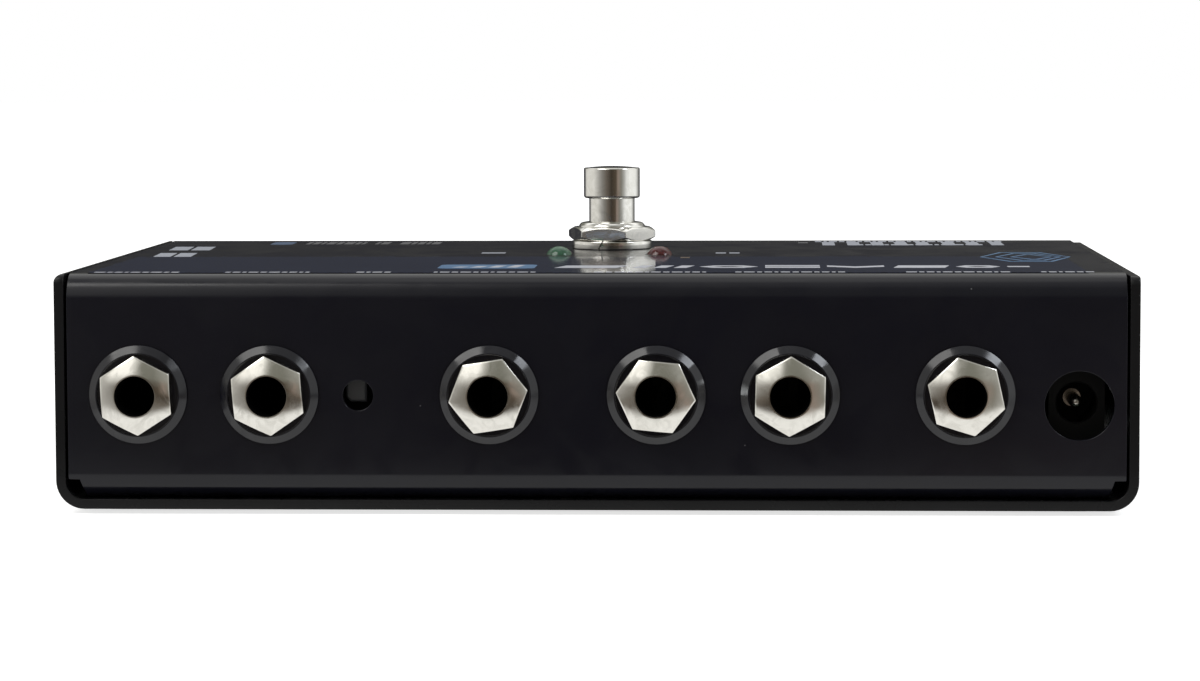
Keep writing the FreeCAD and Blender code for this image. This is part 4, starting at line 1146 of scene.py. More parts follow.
@dataclass
class Footswitch:
    """The footswitch's turned and plated pieces above and below the cover."""

    top: float = 38.8
    place: Point2 = (-0.35, 24.0)
    bushing: float = 12.0
    bore: float = 8.4
    nut_seat: float = 1.5
    nut_top: float = 4.0
    bushing_top: float = 4.95
    shoulder: float = 4.35
    plate_top: float = -4.5
    plate_bottom: float = -5.5
    neck: float = 8.26
    cap: float = 10.15
    cap_bottom: float = 9.15
    cap_top: float = 14.95
    cap_segments: int = 128
    edge_round: float = 0.5
    lower_round: float = 0.6
    crown: float = 0.3
    crown_steps: int = 6
    stem: float = 4.0
    collar: float = -6.75
    stem_end: float = -9.9
    top_nut: SidedBar = field(default_factory=lambda: SidedBar(6, 14.0, 0.18))
    plate: SidedBar = field(default_factory=lambda: SidedBar(4, 17.0, 0.3))
    plate_turn: float = 45.0
    nut_turn: float = -10.0
    bevel_slope: float = 30.0
    bevel_start: float = 0.19
    nut_ease: float = 0.07
    nut_bore_ease: float = 0.15
    lower_nut_thickness: float = 2.2
    cover_thickness: float = 1.5
    thread_gap: float = 0.1
    lock_washer: float = 14.5
    slit_turn: float = -104.7
    slit_slant: float = 25.0
    slit: float = 0.25
    washer_segments: int = 120
    crisp: float = 32.0

    def spot(self) -> Vector:
        """Where the footswitch's axis meets the cover's top, in metres."""
        return Vector((self.place[0], self.place[1], self.top)) * MM

    def cap_body(self) -> bmesh.types.BMesh:
        """Cap, neck and stem in one turned body.

        Returns:
            The body.
        """
        edge_top = self.cap_top - self.crown
        flat = self.cap / 2 - self.edge_round
        sphere = (flat ** 2 + self.crown ** 2) / (2 * self.crown)
        crown = []
        for step in range(1, self.crown_steps + 1):
            radius = flat * (1 - step / self.crown_steps)
            crown.append((radius, self.cap_top - sphere + math.sqrt(sphere ** 2 - radius ** 2), 0.0))
        stem, neck, cap = self.stem / 2, self.neck / 2, self.cap / 2
        outline = [(0.0, self.stem_end, 0.0), (stem, self.stem_end, 0.15), (stem, self.collar, 0.0),
                   (neck, self.collar, 0.1), (neck, self.cap_bottom, 0.08),
                   (cap, self.cap_bottom, self.lower_round), (cap, edge_top, self.edge_round),
                   (flat - 0.05, edge_top, 0.05), *crown]
        return lathe(rounded(outline, steps=6), self.cap_segments)

    def bushing_body(self) -> bmesh.types.BMesh:
        """The bushing's sleeve with its rounded shoulder, and its square plate.

        Returns:
            Both, side by side in one body.
        """
        outer, bore, bar = self.bushing / 2, self.bore / 2, self.plate
        outline = [(bore, self.plate_bottom, 0.0), (outer, self.plate_bottom, 0.0),
                   (outer, self.nut_top + 0.2, 0.5), (outer - 0.45, self.bushing_top - 0.2, 0.7),
                   (self.shoulder, self.bushing_top, 0.35), (bore, self.bushing_top, 0.1)]
        inner = outer - 0.3
        plate = ring_body([lambda a: (inner, self.plate_bottom), lambda a: (bar.radius(a), self.plate_bottom),
                           lambda a: (bar.radius(a), self.plate_top), lambda a: (inner, self.plate_top)],
                          bar.angles(6))
        return join([lathe(rounded(outline, steps=5)), spin(plate, self.plate_turn)])

    def nut_body(self, low: float, high: float, turn: float) -> bmesh.types.BMesh:
        """A hexagon nut with both faces bevelled.

        Args:
            low: its lower face.
            high: its upper face.
            turn: angle of its first corner, in degrees.

        Returns:
            The nut.
        """
        bar = self.top_nut
        face = bar.apothem - self.bevel_start
        slope = math.tan(math.radians(self.bevel_slope))
        bore = self.bushing / 2 + self.thread_gap
        ease = self.nut_ease
        bore_ease = self.nut_bore_ease

        def rim(angle: float, at: float, sign: float, inset: float, drop: float) -> Point2:
            """A point on the bevel's outer edge."""
            radius = bar.radius(angle)
            return radius - inset, at - sign * (max(0.0, radius - face) * slope + drop)

        rings = [lambda a: (bore, low), lambda a: (face - 0.1, low), lambda a: (face, low + 0.02),
                 lambda a: rim(a, low, -1.0, ease, -ease * slope), lambda a: rim(a, low, -1.0, 0.0, ease),
                 lambda a: rim(a, high, 1.0, 0.0, ease), lambda a: rim(a, high, 1.0, ease, -ease * slope),
                 lambda a: (face, high - 0.02), lambda a: (face - 0.1, high),
                 lambda a: (bore + bore_ease, high), lambda a: (bore, high - bore_ease)]
        return spin(ring_body(rings, bar.angles(14)), turn)

    def split_washer_body(self) -> bmesh.types.BMesh:
        """The lock washer, a rounded ring that stops short at each side of a slanted slit.

        Returns:
            The washer.
        """
        inner, outer = self.bushing / 2 + self.thread_gap, self.lock_washer / 2
        outline = rounded([(inner, 0.0, 0.12), (outer, 0.0, 0.22), (outer, self.nut_seat, 0.22),
                           (inner, self.nut_seat, 0.12)])
        shape = bmesh.new()
        middle = (inner + outer) / 2
        gap = self.slit / 2 / middle
        rows = []
        for step in range(self.washer_segments + 1):
            row = []
            for radius, height in outline:
                slant = (height - self.nut_seat / 2) * math.tan(math.radians(self.slit_slant)) / middle
                start = math.radians(self.slit_turn) + slant + gap
                angle = start + (math.tau - 2 * gap) * step / self.washer_segments
                row.append(shape.verts.new(turned_point(radius, angle, height)))
            rows.append(row)
        for first, second in zip(rows, rows[1:]):
            for index in range(len(outline)):
                after = (index + 1) % len(outline)
                shape.faces.new((first[index], second[index], second[after], first[after]))
        shape.faces.new(rows[0])
        shape.faces.new(list(reversed(rows[-1])))
        return shape

    def build(self) -> None:
        """Makes and fastens the footswitch's visible pieces."""
        spot = self.spot()
        made = [
            ("footswitch_cap", self.cap_body(), PRESSED, ["footswitch_plunger"]),
            ("footswitch_sleeve", self.bushing_body(), CASE, ["footswitch_bushing"]),
            ("footswitch_hex_nut", self.nut_body(self.nut_seat, self.nut_top, self.nut_turn), CASE,
             ["footswitch_top_nut"]),
            ("footswitch_inner_nut", self.nut_body(-self.cover_thickness - self.lower_nut_thickness,
                                                   -self.cover_thickness, 0.0), CASE, ["footswitch_lower_nut"]),
            ("footswitch_split_washer", self.split_washer_body(), CASE, ["footswitch_lock_washer"]),
        ]
        for name, shape, body, nodes in made:
            piece = object_from(name, mesh_of(shift(shape, spot), self.crisp), BRIGHT_PLATE)
            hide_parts(*nodes)
            report(piece, body)


@dataclass
class Indicators:
    """The two LEDs, with the metal frames inside their lenses."""

    top: float = 38.8
    across: float = 8.85
    along: float = 3.6
    radius: float = 2.5
    rise: float = 1.42
    length: float = 8.6
    flange: float = 2.9
    flange_thickness: float = 1.0
    dome_steps: int = 16
    lens_segments: int = 72
    crisp: float = 40.0
    plates: Sequence[tuple[float, float, float]] = ((-1.52, -0.67, -3.2), (-0.1, 1.57, -3.0))
    plate_start: float = 0.4
    plate_thickness: float = 0.5
    plate_ease: float = 0.06
    cup_outline: Sequence[Point2] = ((0.0, -3.1), (0.55, -3.1), (0.75, -2.4), (0.6, -2.4), (0.35, -2.8),
                                     (0.0, -2.8))
    cup_place: float = 0.55

    @property
    def bottom(self) -> float:
        """Height of the lens's lower face from the cover's top."""
        return self.rise - self.length

    def lens_body(self) -> bmesh.types.BMesh:
        """One lens about the Z axis, heights from the cover's top.

        Returns:
            The lens.
        """
        ledge = self.bottom + self.flange_thickness
        angles = [math.pi / 2 * step / self.dome_steps for step in range(self.dome_steps + 1)]
        dome = [(self.radius * math.cos(angle), self.rise - self.radius + self.radius * math.sin(angle))
                for angle in angles]
        foot = [(0.0, self.bottom), (self.flange, self.bottom), (self.flange, ledge), (self.radius, ledge)]
        return lathe(foot + dome, self.lens_segments)

    def frame_body(self) -> bmesh.types.BMesh:
        """The two plates inside one lens: the narrow post and the wide one with its cup.

        Returns:
            Plates and cup in one body.
        """
        base = self.bottom + self.plate_start
        parts = []
        for low, high, tip in self.plates:
            shape = bmesh.new()
            bmesh.ops.create_cube(shape, size=1.0)
            for vert in shape.verts:
                share = 0.5 + vert.co.z
                narrow = 0.5 + 0.5 * share
                vert.co.x = ((low + high) / 2 + vert.co.x * (high - low) * narrow) * MM
                vert.co.y *= self.plate_thickness * MM
                vert.co.z = (base + (tip - base) * share) * MM
            bmesh.ops.bevel(shape, geom=shape.edges[:], offset=self.plate_ease * MM, segments=2, affect="EDGES")
            parts.append(shape)
        parts.append(shift(lathe(self.cup_outline, 32), Vector((self.cup_place, 0.0, 0.0)) * MM))
        return join(parts)

    def build(self) -> None:
        """Makes and fastens lenses and frames."""
        for side, name, finish, slot in ((-1, "led_green", GREEN_LENS, "led_green_lens"),
                                         (1, "led_red", RED_LENS, "led_red_lens")):
            spot = Vector((side * self.across, self.along, self.top)) * MM
            lens = object_from(name + "_lens", mesh_of(shift(self.lens_body(), spot), self.crisp), finish)
            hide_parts(name)
            report(lens, CASE)
        spots = [Vector((side * self.across, self.along, self.top)) * MM for side in (-1, 1)]
        frames = SPREAD.make("led_frames", self.frame_body(), spots, TIN)
        report(frames, CASE)


@dataclass
class TopPrint:
    """Plain printed marks on the cover's top: a dark band, dashes, bars and outlines."""

    top: float = 38.8
    film: float = 0.02
    band: tuple[float, float, float, float] = (-82.0, -53.6, 79.0, -5.0)
    dash_lengths: Sequence[float] = (1.7, 0.8, 1.2, 0.6, 1.5, 1.0)
    dash_gap: float = 0.4
    row_spans: Sequence[Point2] = ((-81.1, -67.3), (-59.8, -46.2), (-38.5, -32.5), (-26.0, -9.2), (-0.1, 18.1),
                                   (22.6, 40.2), (50.0, 67.4), (71.6, 80.0))
    row: Point2 = (-53.1, -51.3)
    wide_row: Point2 = (-40.2, -33.4)
    tile: tuple[Point2, Point2] = ((-26.5, -41.7), (-10.5, -30.5))
    tile_round: float = 1.6
    tile_bars: Sequence[Point2] = ((-24.2, -37.0), (-21.2, -35.4), (-18.2, -33.8), (-15.2, -32.4))
    tile_bars_near: float = -39.4
    oval: tuple[Point2, Point2] = ((-64.8, 37.5), (-60.6, 47.5))
    oval_round: float = 2.0
    right_row: Point2 = (36.8, 71.6)
    right_bars: Sequence[float] = (38.0, 42.6, 47.0, 51.4, 55.4, 60.2, 64.6, 69.0)
    pairs: Sequence[tuple[float, float, float]] = ((-79.5, -4.6, 3.0), (-80.3, 17.5, 3.4))
    pair_gap: float = 0.6
    pair_depth: float = 12.5
    dim_row: Point2 = (39.0, 47.0)
    dim_spans: Sequence[tuple[float, float, int]] = ((-58.2, -47.2, 1), (-45.2, -42.4, 3), (-40.6, -32.4, 0))

    def film_heights(self, lift: int) -> tuple[float, float]:
        """The lower and upper face of a film, counted from the cover, in mm."""
        return self.top + self.film * (lift - 1), self.top + self.film * lift

    def slab(self, corners: Sequence[Point2], lift: int = 2) -> bmesh.types.BMesh:
        """A thin slab of ink on the cover.

        Args:
            corners: its outline in mm on the cover's top.
            lift: which film it is, counted from the cover.

        Returns:
            The slab.
        """
        shape = bmesh.new()
        loops = [[shape.verts.new((x * MM, y * MM, height * MM)) for x, y in corners]
                 for height in self.film_heights(lift)]
        for loop in loops:
            shape.faces.new(loop)
        bridge(shape, *loops)
        return shape

    def oblong(self, low: Point2, high: Point2, slant: float = 0.0, lift: int = 2) -> bmesh.types.BMesh:
        """A four-sided slab whose far side leans along X.

        Args:
            low: its low corner.
            high: its high corner.
            slant: how far the far side leans, in mm.
            lift: which film it is.

        Returns:
            The slab.
        """
        corners = [low, (high[0], low[1]), (high[0] + slant, high[1]), (low[0] + slant, high[1])]
        return self.slab(corners, lift)

    def rounded_slab(self, low: Point2, high: Point2, radius: float, lift: int = 2) -> bmesh.types.BMesh:
        """A slab with round corners.

        Args:
            low: its low corner.
            high: its high corner.
            radius: corner radius.
            lift: which film it is.

        Returns:
            The slab.
        """
        corners = [(low[0], low[1], radius), (high[0], low[1], radius), (high[0], high[1], radius),
                   (low[0], high[1], radius)]
        return self.slab(rounded(corners, steps=5), lift)

    def hollow(self, low: Point2, high: Point2, cut: float, line: Point2, lift: int = 2) -> bmesh.types.BMesh:
        """A closed line round a lozenge with flat near and far sides.

        Args:
            low: its low corner.
            high: its high corner.
            cut: how far its pointed ends reach back.
            line: the line's width along X and along Y.
            lift: which film it is.

        Returns:
            The line.
        """
        middle = (low[1] + high[1]) / 2

        def outline(inset: Point2) -> list[Point2]:
            """The lozenge drawn in by an inset.

            Args:
                inset: how far, along X and along Y.

            Returns:
                Its six corners.
            """
            x0, x1 = low[0] + inset[0], high[0] - inset[0]
            y0, y1 = low[1] + inset[1], high[1] - inset[1]
            return [(x0 + cut, y0), (x1 - cut, y0), (x1, middle), (x1 - cut, y1), (x0 + cut, y1), (x0, middle)]

        lower, upper = self.film_heights(lift)
        shape = bmesh.new()
        loops = [[shape.verts.new((x * MM, y * MM, height * MM)) for x, y in outline(inset)]
                 for inset, height in (((0.0, 0.0), lower), ((0.0, 0.0), upper), (line, upper), (line, lower))]
        for first, second in zip(loops, loops[1:] + loops[:1]):
            bridge(shape, first, second)
        return shape

    def dip(self, low: Point2, high: Point2, line: float, lift: int = 2) -> bmesh.types.BMesh:
        """A shallow V whose tip points to the jack panel.

        Args:
            low: its low corner.
            high: its high corner.
            line: the arms' depth along Y.
            lift: which film it is.

        Returns:
            The mark.
        """
        middle = (low[0] + high[0]) / 2
        corners = [(low[0], high[1]), (low[0], high[1] - line), (middle, low[1]), (high[0], high[1] - line),
                   (high[0], high[1]), (middle, low[1] + line)]
        return self.slab(corners, lift)

    def dashes(self, start: float, end: float, near: float, far: float, first: int = 0,
               lift: int = 2) -> list[bmesh.types.BMesh]:
        """A row of short dashes of several lengths along X.

        Args:
            start: low end of the row.
            end: high end of the row.
            near: the dashes' near side.
            far: their far side.
            first: which of the lengths the row starts with.
            lift: which film they are.

        Returns:
            The dashes.
        """
        made = []
        x = start
        number = first
        while x < end - self.dash_gap:
            length = min(self.dash_lengths[number % len(self.dash_lengths)], end - x)
            made.append(self.oblong((x, near), (x + length, far), lift=lift))
            x += length + self.dash_gap
            number += 1
        return made

    def film_piece(self, name: str, shapes: Iterable[bmesh.types.BMesh], ink: ScreenInk) -> None:
        """Joins marks of one ink into a piece on the case."""
        piece = object_from(name, mesh_of(join(shapes)), ink)
        report(piece, CASE)

    def white_marks(self) -> list[bmesh.types.BMesh]:
        """The dashes along the jack panel, and the long row of bars.

        Returns:
            The marks.
        """
        marks = []
        for number, (start, end) in enumerate(self.row_spans):
            marks += self.dashes(start, end, *self.row, number)
        near, far = self.wide_row
        marks.append(self.oblong((-7.2, near), (3.0, far), 1.6))
        marks += [self.oblong((x, near), (x + 2.1, far), 1.2) for x in (5.6, 9.0, 12.4)]
        marks.append(self.hollow((16.6, near), (26.2, far), 2.4, (1.6, 2.0)))
        marks += [self.oblong((27.4, near + 4.6 * step), (36.4, near + 3.2 + 4.6 * step)) for step in range(2)]
        marks.append(self.dip((37.6, near), (47.0, far), 3.6))
        marks.append(self.oblong((48.4, near), (56.8, far), 1.0))
        marks.append(self.hollow((58.8, near), (66.0, far), 1.6, (1.4, 2.2)))
        marks.append(self.oblong((67.2, near + 2.0), (70.8, far - 2.0)))
        return marks

    def nested_outlines(self) -> list[bmesh.types.BMesh]:
        """The outlines on the right, each inside the last."""
        return [self.hollow((64.4 + 2.6 * step, -22.0 + 3.4 * step), (80.0 - 1.6 * step, 8.0 - 3.4 * step),
                            4.2 - 0.6 * step, (0.4, 1.2)) for step in range(3)]

    def silver_marks(self) -> list[bmesh.types.BMesh]:
        """The small bars beside the middle, the far row on the right and the pairs of bars on the left.

        Returns:
            The marks.
        """
        marks = [self.oblong((-22.8, 6.0), (-18.6, 9.2), lift=1)]
        marks += [self.oblong((x, 5.6), (x + 1.8, 8.6), lift=1) for x in (18.7, 21.1)]
        marks += self.dashes(*self.right_row, 46.4, 50.2, 2, 1)
        marks += [self.oblong((x, 34.0), (x + 2.3, 46.4), lift=1) for x in self.right_bars]
        marks += self.dashes(44.0, 68.0, 34.0, 37.4, 4, 2)
        for x, y, wide in self.pairs:
            for step in range(2):
                start = x + (wide + self.pair_gap) * step
                marks.append(self.oblong((start, y), (start + wide, y + self.pair_depth), -0.7, 1))
        return marks

    def dim_marks(self) -> list[bmesh.types.BMesh]:
        """The dim dashes far left and the small bar far right.

        Returns:
            The marks.
        """
        marks = []
        for start, end, first in self.dim_spans:
            marks += self.dashes(start, end, *self.dim_row, first, 1)
        marks.append(self.oblong((33.6, 42.0), (35.4, 45.6), lift=1))
        return marks

    def build(self) -> None:
        """Prints the marks, one film for each ink."""
        x0, y0, x1, y1 = self.band
        tile = self.rounded_slab(*self.tile, self.tile_round)
        badge = [self.oblong((x, self.tile_bars_near), (x + 1.7, far), 1.0, 3) for x, far in self.tile_bars]
        for name, marks, ink in (
            ("printed_band", [self.oblong((x0, y0), (x1, y1), lift=1)], NAVY_INK),
            ("printed_white", self.white_marks(), WHITE_INK),
            ("printed_blue", [tile, *self.nested_outlines()], SKY_INK),
            ("printed_badge", badge, WHITE_INK),
            ("printed_amber", [self.oblong((12.8, -9.9), (14.4, -6.7))], AMBER_INK),
            ("printed_oval", [self.rounded_slab(*self.oval, self.oval_round, 1)], SLATE_INK),
            ("printed_silver", self.silver_marks(), SILVER_INK),
            ("printed_dim", self.dim_marks(), DIM_INK),
        ):
            self.film_piece(name, marks, ink)


@dataclass(frozen=True)
class ReturnSpring:
    """A coil spring, copied from its CAD node and fastened to the case.

    Attributes:
        node: its CAD node, whose coil it copies.
        joint: the button's joint; not used.
        axis: the coil's direction; not used.
        fixed_end: the point that its still end rests on, in mm; not used.
        rest_length: its length at rest, in mm; not used.
        travel: the button's travel, in mm; not used.
    """

    node: str
    joint: str
    axis: tuple[float, float, float]
    fixed_end: tuple[float, float, float]
    rest_length: float
    travel: float

    def build(self) -> None:
        """Copies the coil."""
        coil = object_from(self.node.replace("spring", "coil"), mesh_of(cad_shape([self.node])), SPRING_WIRE)
        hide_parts(self.node)
        report(coil, CASE)
        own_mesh(coil)


@dataclass
class CarriedNodes:
    """The CAD nodes whose own shape shows, and the finish that each takes."""

    finishes: dict[str, Finish] = field(default_factory=lambda: {
        "clinch_nuts": ZINC, "inlet_body": MOULDED_BLACK, "inlet_pin": PIN_PLATE, "inlet_contact": AGED_BRASS,
        "lift_switch_body": MOULDED_BLACK, "lift_switch_button": BUTTON_GREY,
        "lift_switch_pins": TIN, "footswitch_housing": HOUSING_BLUE, "footswitch_base": BASE_BROWN,
        "footswitch_carrier": BASE_BROWN, "footswitch_lugs": TIN,
        "led_leads": TIN, "led_spacers": SPACER_WHITE, "main_board": BOARD_MASK, "relays": RELAY_WHITE,
        "transformer_core": CORE_SHEETS, "transformer_winding": WINDING_TAPE, "capacitors": CAN_SLEEVE,
        "chips": CHIP_EPOXY, "regulator": CHIP_EPOXY, "resistors": BandedCoat("resistor_coat"),
        "board_header": HEADER_WHITE, "footswitch_wires": WIRE_JACKET,
    })

    def build(self) -> None:
        """Gives each carried-over node its finish."""
        finishes = dict(self.finishes)
        for number in range(1, len(JackRow.places) + 1):
            finishes[f"jack_{number}_body"] = MOULDED_BLACK
            # The contacts take the near-black tin: painted shade of the dark jack bores.
            finishes[f"jack_{number}_contacts"] = SHADE_DARKENED_TIN
        for node, finish in finishes.items():
            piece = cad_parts[node]
            piece.data.materials.clear()
            piece.data.materials.append(finish.material())
            log.info("%s dressed as %s", node, finish.name)


# Studio

@dataclass
class Studio:
    """Camera, floor, softboxes, and the far room that polished metal shows."""

    eye: tuple[float, float, float] = (27.04, -643.18, 72.58)
    yaw: float = 2.543
    pitch: float = -4.332
    roll: float = 0.168
    focal_pixels: float = 3679.2
    image_width: float = 1200.0
    sensor: float = 36.0
    room_radius: float = 2.4
    half_length: float = 87.0
    half_depth: float = 57.0
    sheet_near: float = 26.0
    sheet_far: float = 47.0
    floor_half: float = 6.0
    floor_glow: float = 0.72
    sky_fill: float = 0.7
    lamp_distance: float = 0.9
    lamp_aim: tuple[float, float, float] = (0.0, -0.02, 0.03)

    def camera(self) -> None:
        """Sets the camera where the photograph was taken from."""
        lens = bpy.data.cameras.new("camera")
        lens.sensor_width = self.sensor
        lens.lens = self.sensor * self.focal_pixels / self.image_width
        lens.clip_start = 0.01
        lens.clip_end = 50.0
        holder = bpy.data.objects.new("camera", lens)
        bpy.context.scene.collection.objects.link(holder)
        turn = Matrix.Identity(4)
        for degrees, axis in ((self.yaw, "Z"), (self.pitch, "X"), (self.roll, "Y"), (90.0, "X")):
            turn = turn @ Matrix.Rotation(math.radians(degrees), 4, axis)
        holder.matrix_world = Matrix.Translation(Vector(self.eye) * MM) @ turn
        bpy.context.scene.camera = holder

    @staticmethod
    def blank_sheet(name: str) -> tuple[bpy.types.Material, NodeSheet, bpy.types.Node]:
        """A new material with nothing but its output.

        Args:
            name: the material's name.

        Returns:
            The material, its node sheet and its output node.
        """
        paint = bpy.data.materials.new(name)
        paint.use_nodes = True
        paint.node_tree.nodes.clear()
        sheet = NodeSheet(paint.node_tree)
        return paint, sheet, sheet.add("ShaderNodeOutputMaterial")

    @staticmethod
    def horizon_stops() -> list[tuple[float, Colour]]:
        """The room's colours low down, by bearing in degrees: 0 is towards the camera, left is negative.

        Returns:
            Bearing and colour of each stop, from -180 to 180.
        """
        dark = (0.04, 0.04, 0.045)
        left = (0.80, 0.79, 0.75)
        right = (1.04, 1.05, 1.03)
        return [(-180, dark), (-142, dark), (-130, (0.68, 0.67, 0.64)), (-116, left), (-78, left),
                (-52, (0.40, 0.39, 0.37)), (-38, (0.24, 0.23, 0.21)), (-20, (0.14, 0.12, 0.10)),
                (0, (0.05, 0.04, 0.03)), (20, (0.09, 0.07, 0.05)), (28, (0.28, 0.225, 0.19)),
                (42, (0.23, 0.22, 0.19)), (55, (0.45, 0.45, 0.43)), (67, (0.84, 0.85, 0.83)), (82, right),
                (116, right), (142, (0.30, 0.30, 0.29)), (156, (0.07, 0.07, 0.07)), (180, dark)]

    def horizon_colour(self, sheet: NodeSheet,
                       place: bpy.types.NodeSocket) -> tuple[bpy.types.NodeSocket, bpy.types.NodeSocket]:
        """Nodes that give the room's colour low down at a place's bearing.

        Args:
            sheet: the material's node sheet.
            place: the place, in metres.

        Returns:
            The colour, and the bearing in degrees.
        """
        parts = sheet.add("ShaderNodeSeparateXYZ", in_Vector=place)
        ahead = sheet.maths("MULTIPLY", parts.outputs["Y"], -1.0)
        bearing = sheet.maths("MULTIPLY", sheet.maths("ARCTAN2", parts.outputs["X"], ahead), 180.0 / math.pi)
        turn = sheet.maths("MULTIPLY_ADD", bearing, 1.0 / 360.0, 0.5)
        ring = sheet.add("ShaderNodeValToRGB", in_Fac=turn)
        stops = [(angle / 360.0 + 0.5, colour) for angle, colour in self.horizon_stops()]
        ramp = ring.color_ramp
        for element, (position, colour) in zip(ramp.elements, (stops[0], stops[-1])):
            element.position, element.color = position, (*colour, 1.0)
        for position, colour in stops[1:-1]:
            ramp.elements.new(position).color = (*colour, 1.0)
        return ring.outputs["Color"], bearing

    def floor(self) -> None:
        """A white floor that keeps the object's soft shadow, and that metal sees as a white sheet under it."""
        shape = bmesh.new()
        bmesh.ops.create_grid(shape, x_segments=2, y_segments=2, size=self.floor_half)
        piece = object_from("studio_floor", mesh_of(shape))
        paint, sheet, output = self.blank_sheet("studio_floor_paint")
        path = sheet.add("ShaderNodeLightPath")
        place = sheet.add("ShaderNodeTexCoord").outputs["Object"]
        matt = sheet.add("ShaderNodeBsdfDiffuse", in_Color=(0.78, 0.78, 0.77, 1.0))
        seen = sheet.maths("ADD", path.outputs["Is Camera Ray"], path.outputs["Is Transmission Ray"],
                           clamp=True)
        glow = sheet.add("ShaderNodeEmission", in_Color=(1.0, 1.0, 1.0, 1.0),
                         in_Strength=sheet.maths("MULTIPLY", seen, self.floor_glow))
        plain = sheet.add("ShaderNodeAddShader", in_0=matt.outputs[0], in_1=glow.outputs[0])
        parts = sheet.add("ShaderNodeSeparateXYZ", in_Vector=place)
        past = [sheet.maths("SUBTRACT", sheet.maths("ABSOLUTE", parts.outputs[axis]), half * MM)
                for axis, half in (("X", self.half_length), ("Y", self.half_depth))]
        away = sheet.maths("MAXIMUM", *past)
        near = sheet.span(away, self.sheet_near * MM, self.sheet_far * MM, 1.0, 0.0)
        horizon, _ = self.horizon_colour(sheet, place)
        shown = sheet.add("ShaderNodeEmission", in_Color=sheet.blend(near, horizon, (0.97, 0.97, 0.95)))
        mix = sheet.add("ShaderNodeMixShader", in_0=path.outputs["Is Glossy Ray"], in_1=plain.outputs[0],
                        in_2=shown.outputs[0])
        sheet.feed(output.inputs["Surface"], mix.outputs[0])
        piece.data.materials.append(paint)

    def room(self) -> None:
        """The far room: low colours, a card ahead on the left, a bright strip behind, a brightening ceiling."""
        shape = bmesh.new()
        bmesh.ops.create_uvsphere(shape, u_segments=48, v_segments=24, radius=self.room_radius)
        piece = object_from("studio_room", mesh_of(shape))
        paint, sheet, output = self.blank_sheet("studio_room_paint")
        place = sheet.add("ShaderNodeTexCoord").outputs["Object"]
        horizon, bearing = self.horizon_colour(sheet, place)
        height = sheet.add("ShaderNodeSeparateXYZ", in_Vector=place).outputs["Z"]
        sine = sheet.maths("DIVIDE", height, self.room_radius, clamp=True)
        rise = sheet.maths("MULTIPLY", sheet.maths("ARCSINE", sine), 180.0 / math.pi)
        off = sheet.maths("ABSOLUTE", bearing)
        beside = sheet.maths("MULTIPLY", sheet.span(off, 50.0, 68.0), sheet.span(off, 138.0, 122.0))
        low = sheet.span(rise, 18.0, 10.0)
        tall = sheet.maths("MULTIPLY", beside, sheet.span(rise, 56.0, 42.0))
        colour = sheet.blend(sheet.span(bearing, 12.0, 40.0), (0.20, 0.20, 0.17), (0.36, 0.36, 0.33))
        colour = sheet.blend(sheet.span(rise, 46.0, 66.0), colour, (0.50, 0.50, 0.48))
        colour = sheet.blend(sheet.span(rise, 74.0, 83.0), colour, (1.15, 1.15, 1.12))
        colour = sheet.blend(sheet.maths("MAXIMUM", low, tall), colour, horizon)
        card = self.patch(sheet, (bearing, -64.0, -46.0, -20.0, -4.0), (rise, 6.0, 24.0, 54.0, 74.0))
        colour = sheet.blend(card, colour, (1.20, 1.19, 1.14))
        strip = self.patch(sheet, (off, 112.0, 132.0, 200.0, 220.0), (rise, 26.0, 44.0, 68.0, 82.0))
        colour = sheet.blend(strip, colour, (1.30, 1.30, 1.27))
        glow = sheet.add("ShaderNodeEmission", in_Color=colour)
        sheet.feed(output.inputs["Surface"], glow.outputs[0])
        piece.data.materials.append(paint)
        for ray in ("camera", "diffuse", "transmission", "volume_scatter", "shadow"):
            setattr(piece, "visible_" + ray, False)

    @staticmethod
    def patch(sheet: NodeSheet, across: tuple, upwards: tuple) -> bpy.types.NodeSocket:
        """A soft-edged patch of the room.

        Args:
            sheet: the material's node sheet.
            across: the bearing's socket, and where the patch starts, is full, is full still, and ends.
            upwards: the same for the height above the horizon.

        Returns:
            How much of the patch there is, from 0 to 1.
        """
        parts = []
        for angle, start, full, still, end in (across, upwards):
            parts.append(sheet.maths("MULTIPLY", sheet.span(angle, start, full), sheet.span(angle, end, still)))
        return sheet.maths("MULTIPLY", *parts)

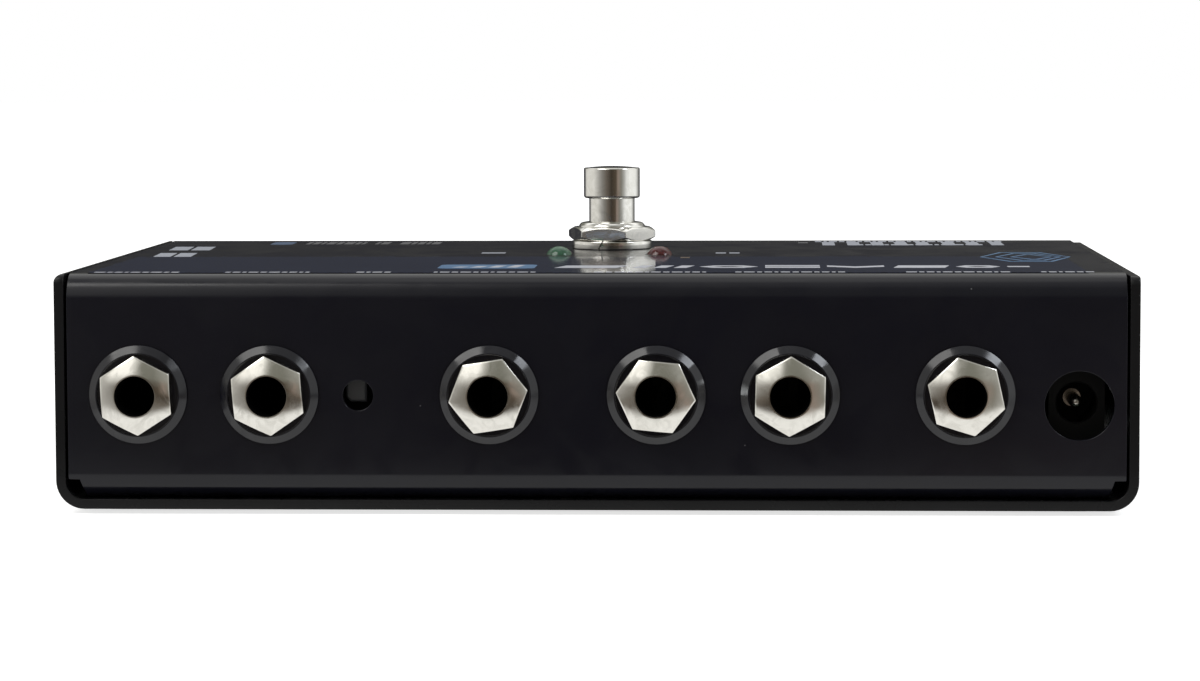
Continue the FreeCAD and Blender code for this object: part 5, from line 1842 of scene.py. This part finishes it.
    def world(self) -> None:
        """A white background, and a plain fill for what isn't shiny."""
        world = bpy.data.worlds.new("studio")
        world.use_nodes = True
        world.node_tree.nodes.clear()
        bpy.context.scene.world = world
        sheet = NodeSheet(world.node_tree)
        output = sheet.add("ShaderNodeOutputWorld")
        path = sheet.add("ShaderNodeLightPath")
        seen = sheet.maths("ADD", path.outputs["Is Camera Ray"], path.outputs["Is Glossy Ray"])
        seen = sheet.maths("ADD", seen, path.outputs["Is Transmission Ray"], clamp=True)
        strength = sheet.fade(seen, self.sky_fill, 1.0)
        sky = sheet.add("ShaderNodeBackground", in_Color=(1.0, 1.0, 1.0, 1.0), in_Strength=strength)
        sheet.feed(output.inputs["Surface"], sky.outputs[0])

    def lamp(self, name: str, direction: Vector, size: Point2, radiance: float, colour: Colour) -> None:
        """One rectangular softbox.

        Args:
            name: its name.
            direction: where it stands, seen from the object.
            size: width and height in metres.
            radiance: how bright its face is, where 1 is white.
            colour: its colour.
        """
        light = bpy.data.lights.new(name, "AREA")
        light.shape = "RECTANGLE"
        light.size, light.size_y = size
        light.energy = math.pi * size[0] * size[1] * radiance
        light.color = colour
        holder = bpy.data.objects.new(name, light)
        bpy.context.scene.collection.objects.link(holder)
        holder.location = Vector(self.lamp_aim) + direction.normalized() * self.lamp_distance
        holder.rotation_euler = direction.to_track_quat("Z", "Y").to_euler()
        holder.visible_camera = False

    def build(self) -> None:
        """Sets up the studio."""
        self.camera()
        self.floor()
        self.room()
        self.world()
        self.lamp("softbox_left", Vector((-0.50, -0.33, 0.80)), (0.50, 0.50), 3.2, (1.0, 0.99, 0.96))
        self.lamp("softbox_right", Vector((0.70, -0.22, 0.68)), (0.26, 0.26), 7.0, (0.88, 0.93, 1.0))
        bpy.context.scene.view_settings.view_transform = "Standard"


def main() -> None:
    """Builds every sub-assembly and the studio."""
    logging.basicConfig(level=logging.INFO, format="%(name)s %(message)s")
    Studio().build()
    Enclosure().build()
    JackRow().build()
    Footswitch().build()
    Indicators().build()
    TopPrint().build()
    ReturnSpring(node="footswitch_spring", joint="footswitch_press", axis=(0.0, 0.0, 1.0),
                 fixed_end=(-0.35, 24.0, 21.3), rest_length=7.75, travel=3.0).build()
    ReturnSpring(node="lift_switch_spring", joint="lift_switch_press", axis=(0.0, 1.0, 0.0),
                 fixed_end=(-38.5, -39.2, 20.0), rest_length=6.04, travel=1.8).build()
    CarriedNodes().build()


if __name__ == "__main__":
    main()
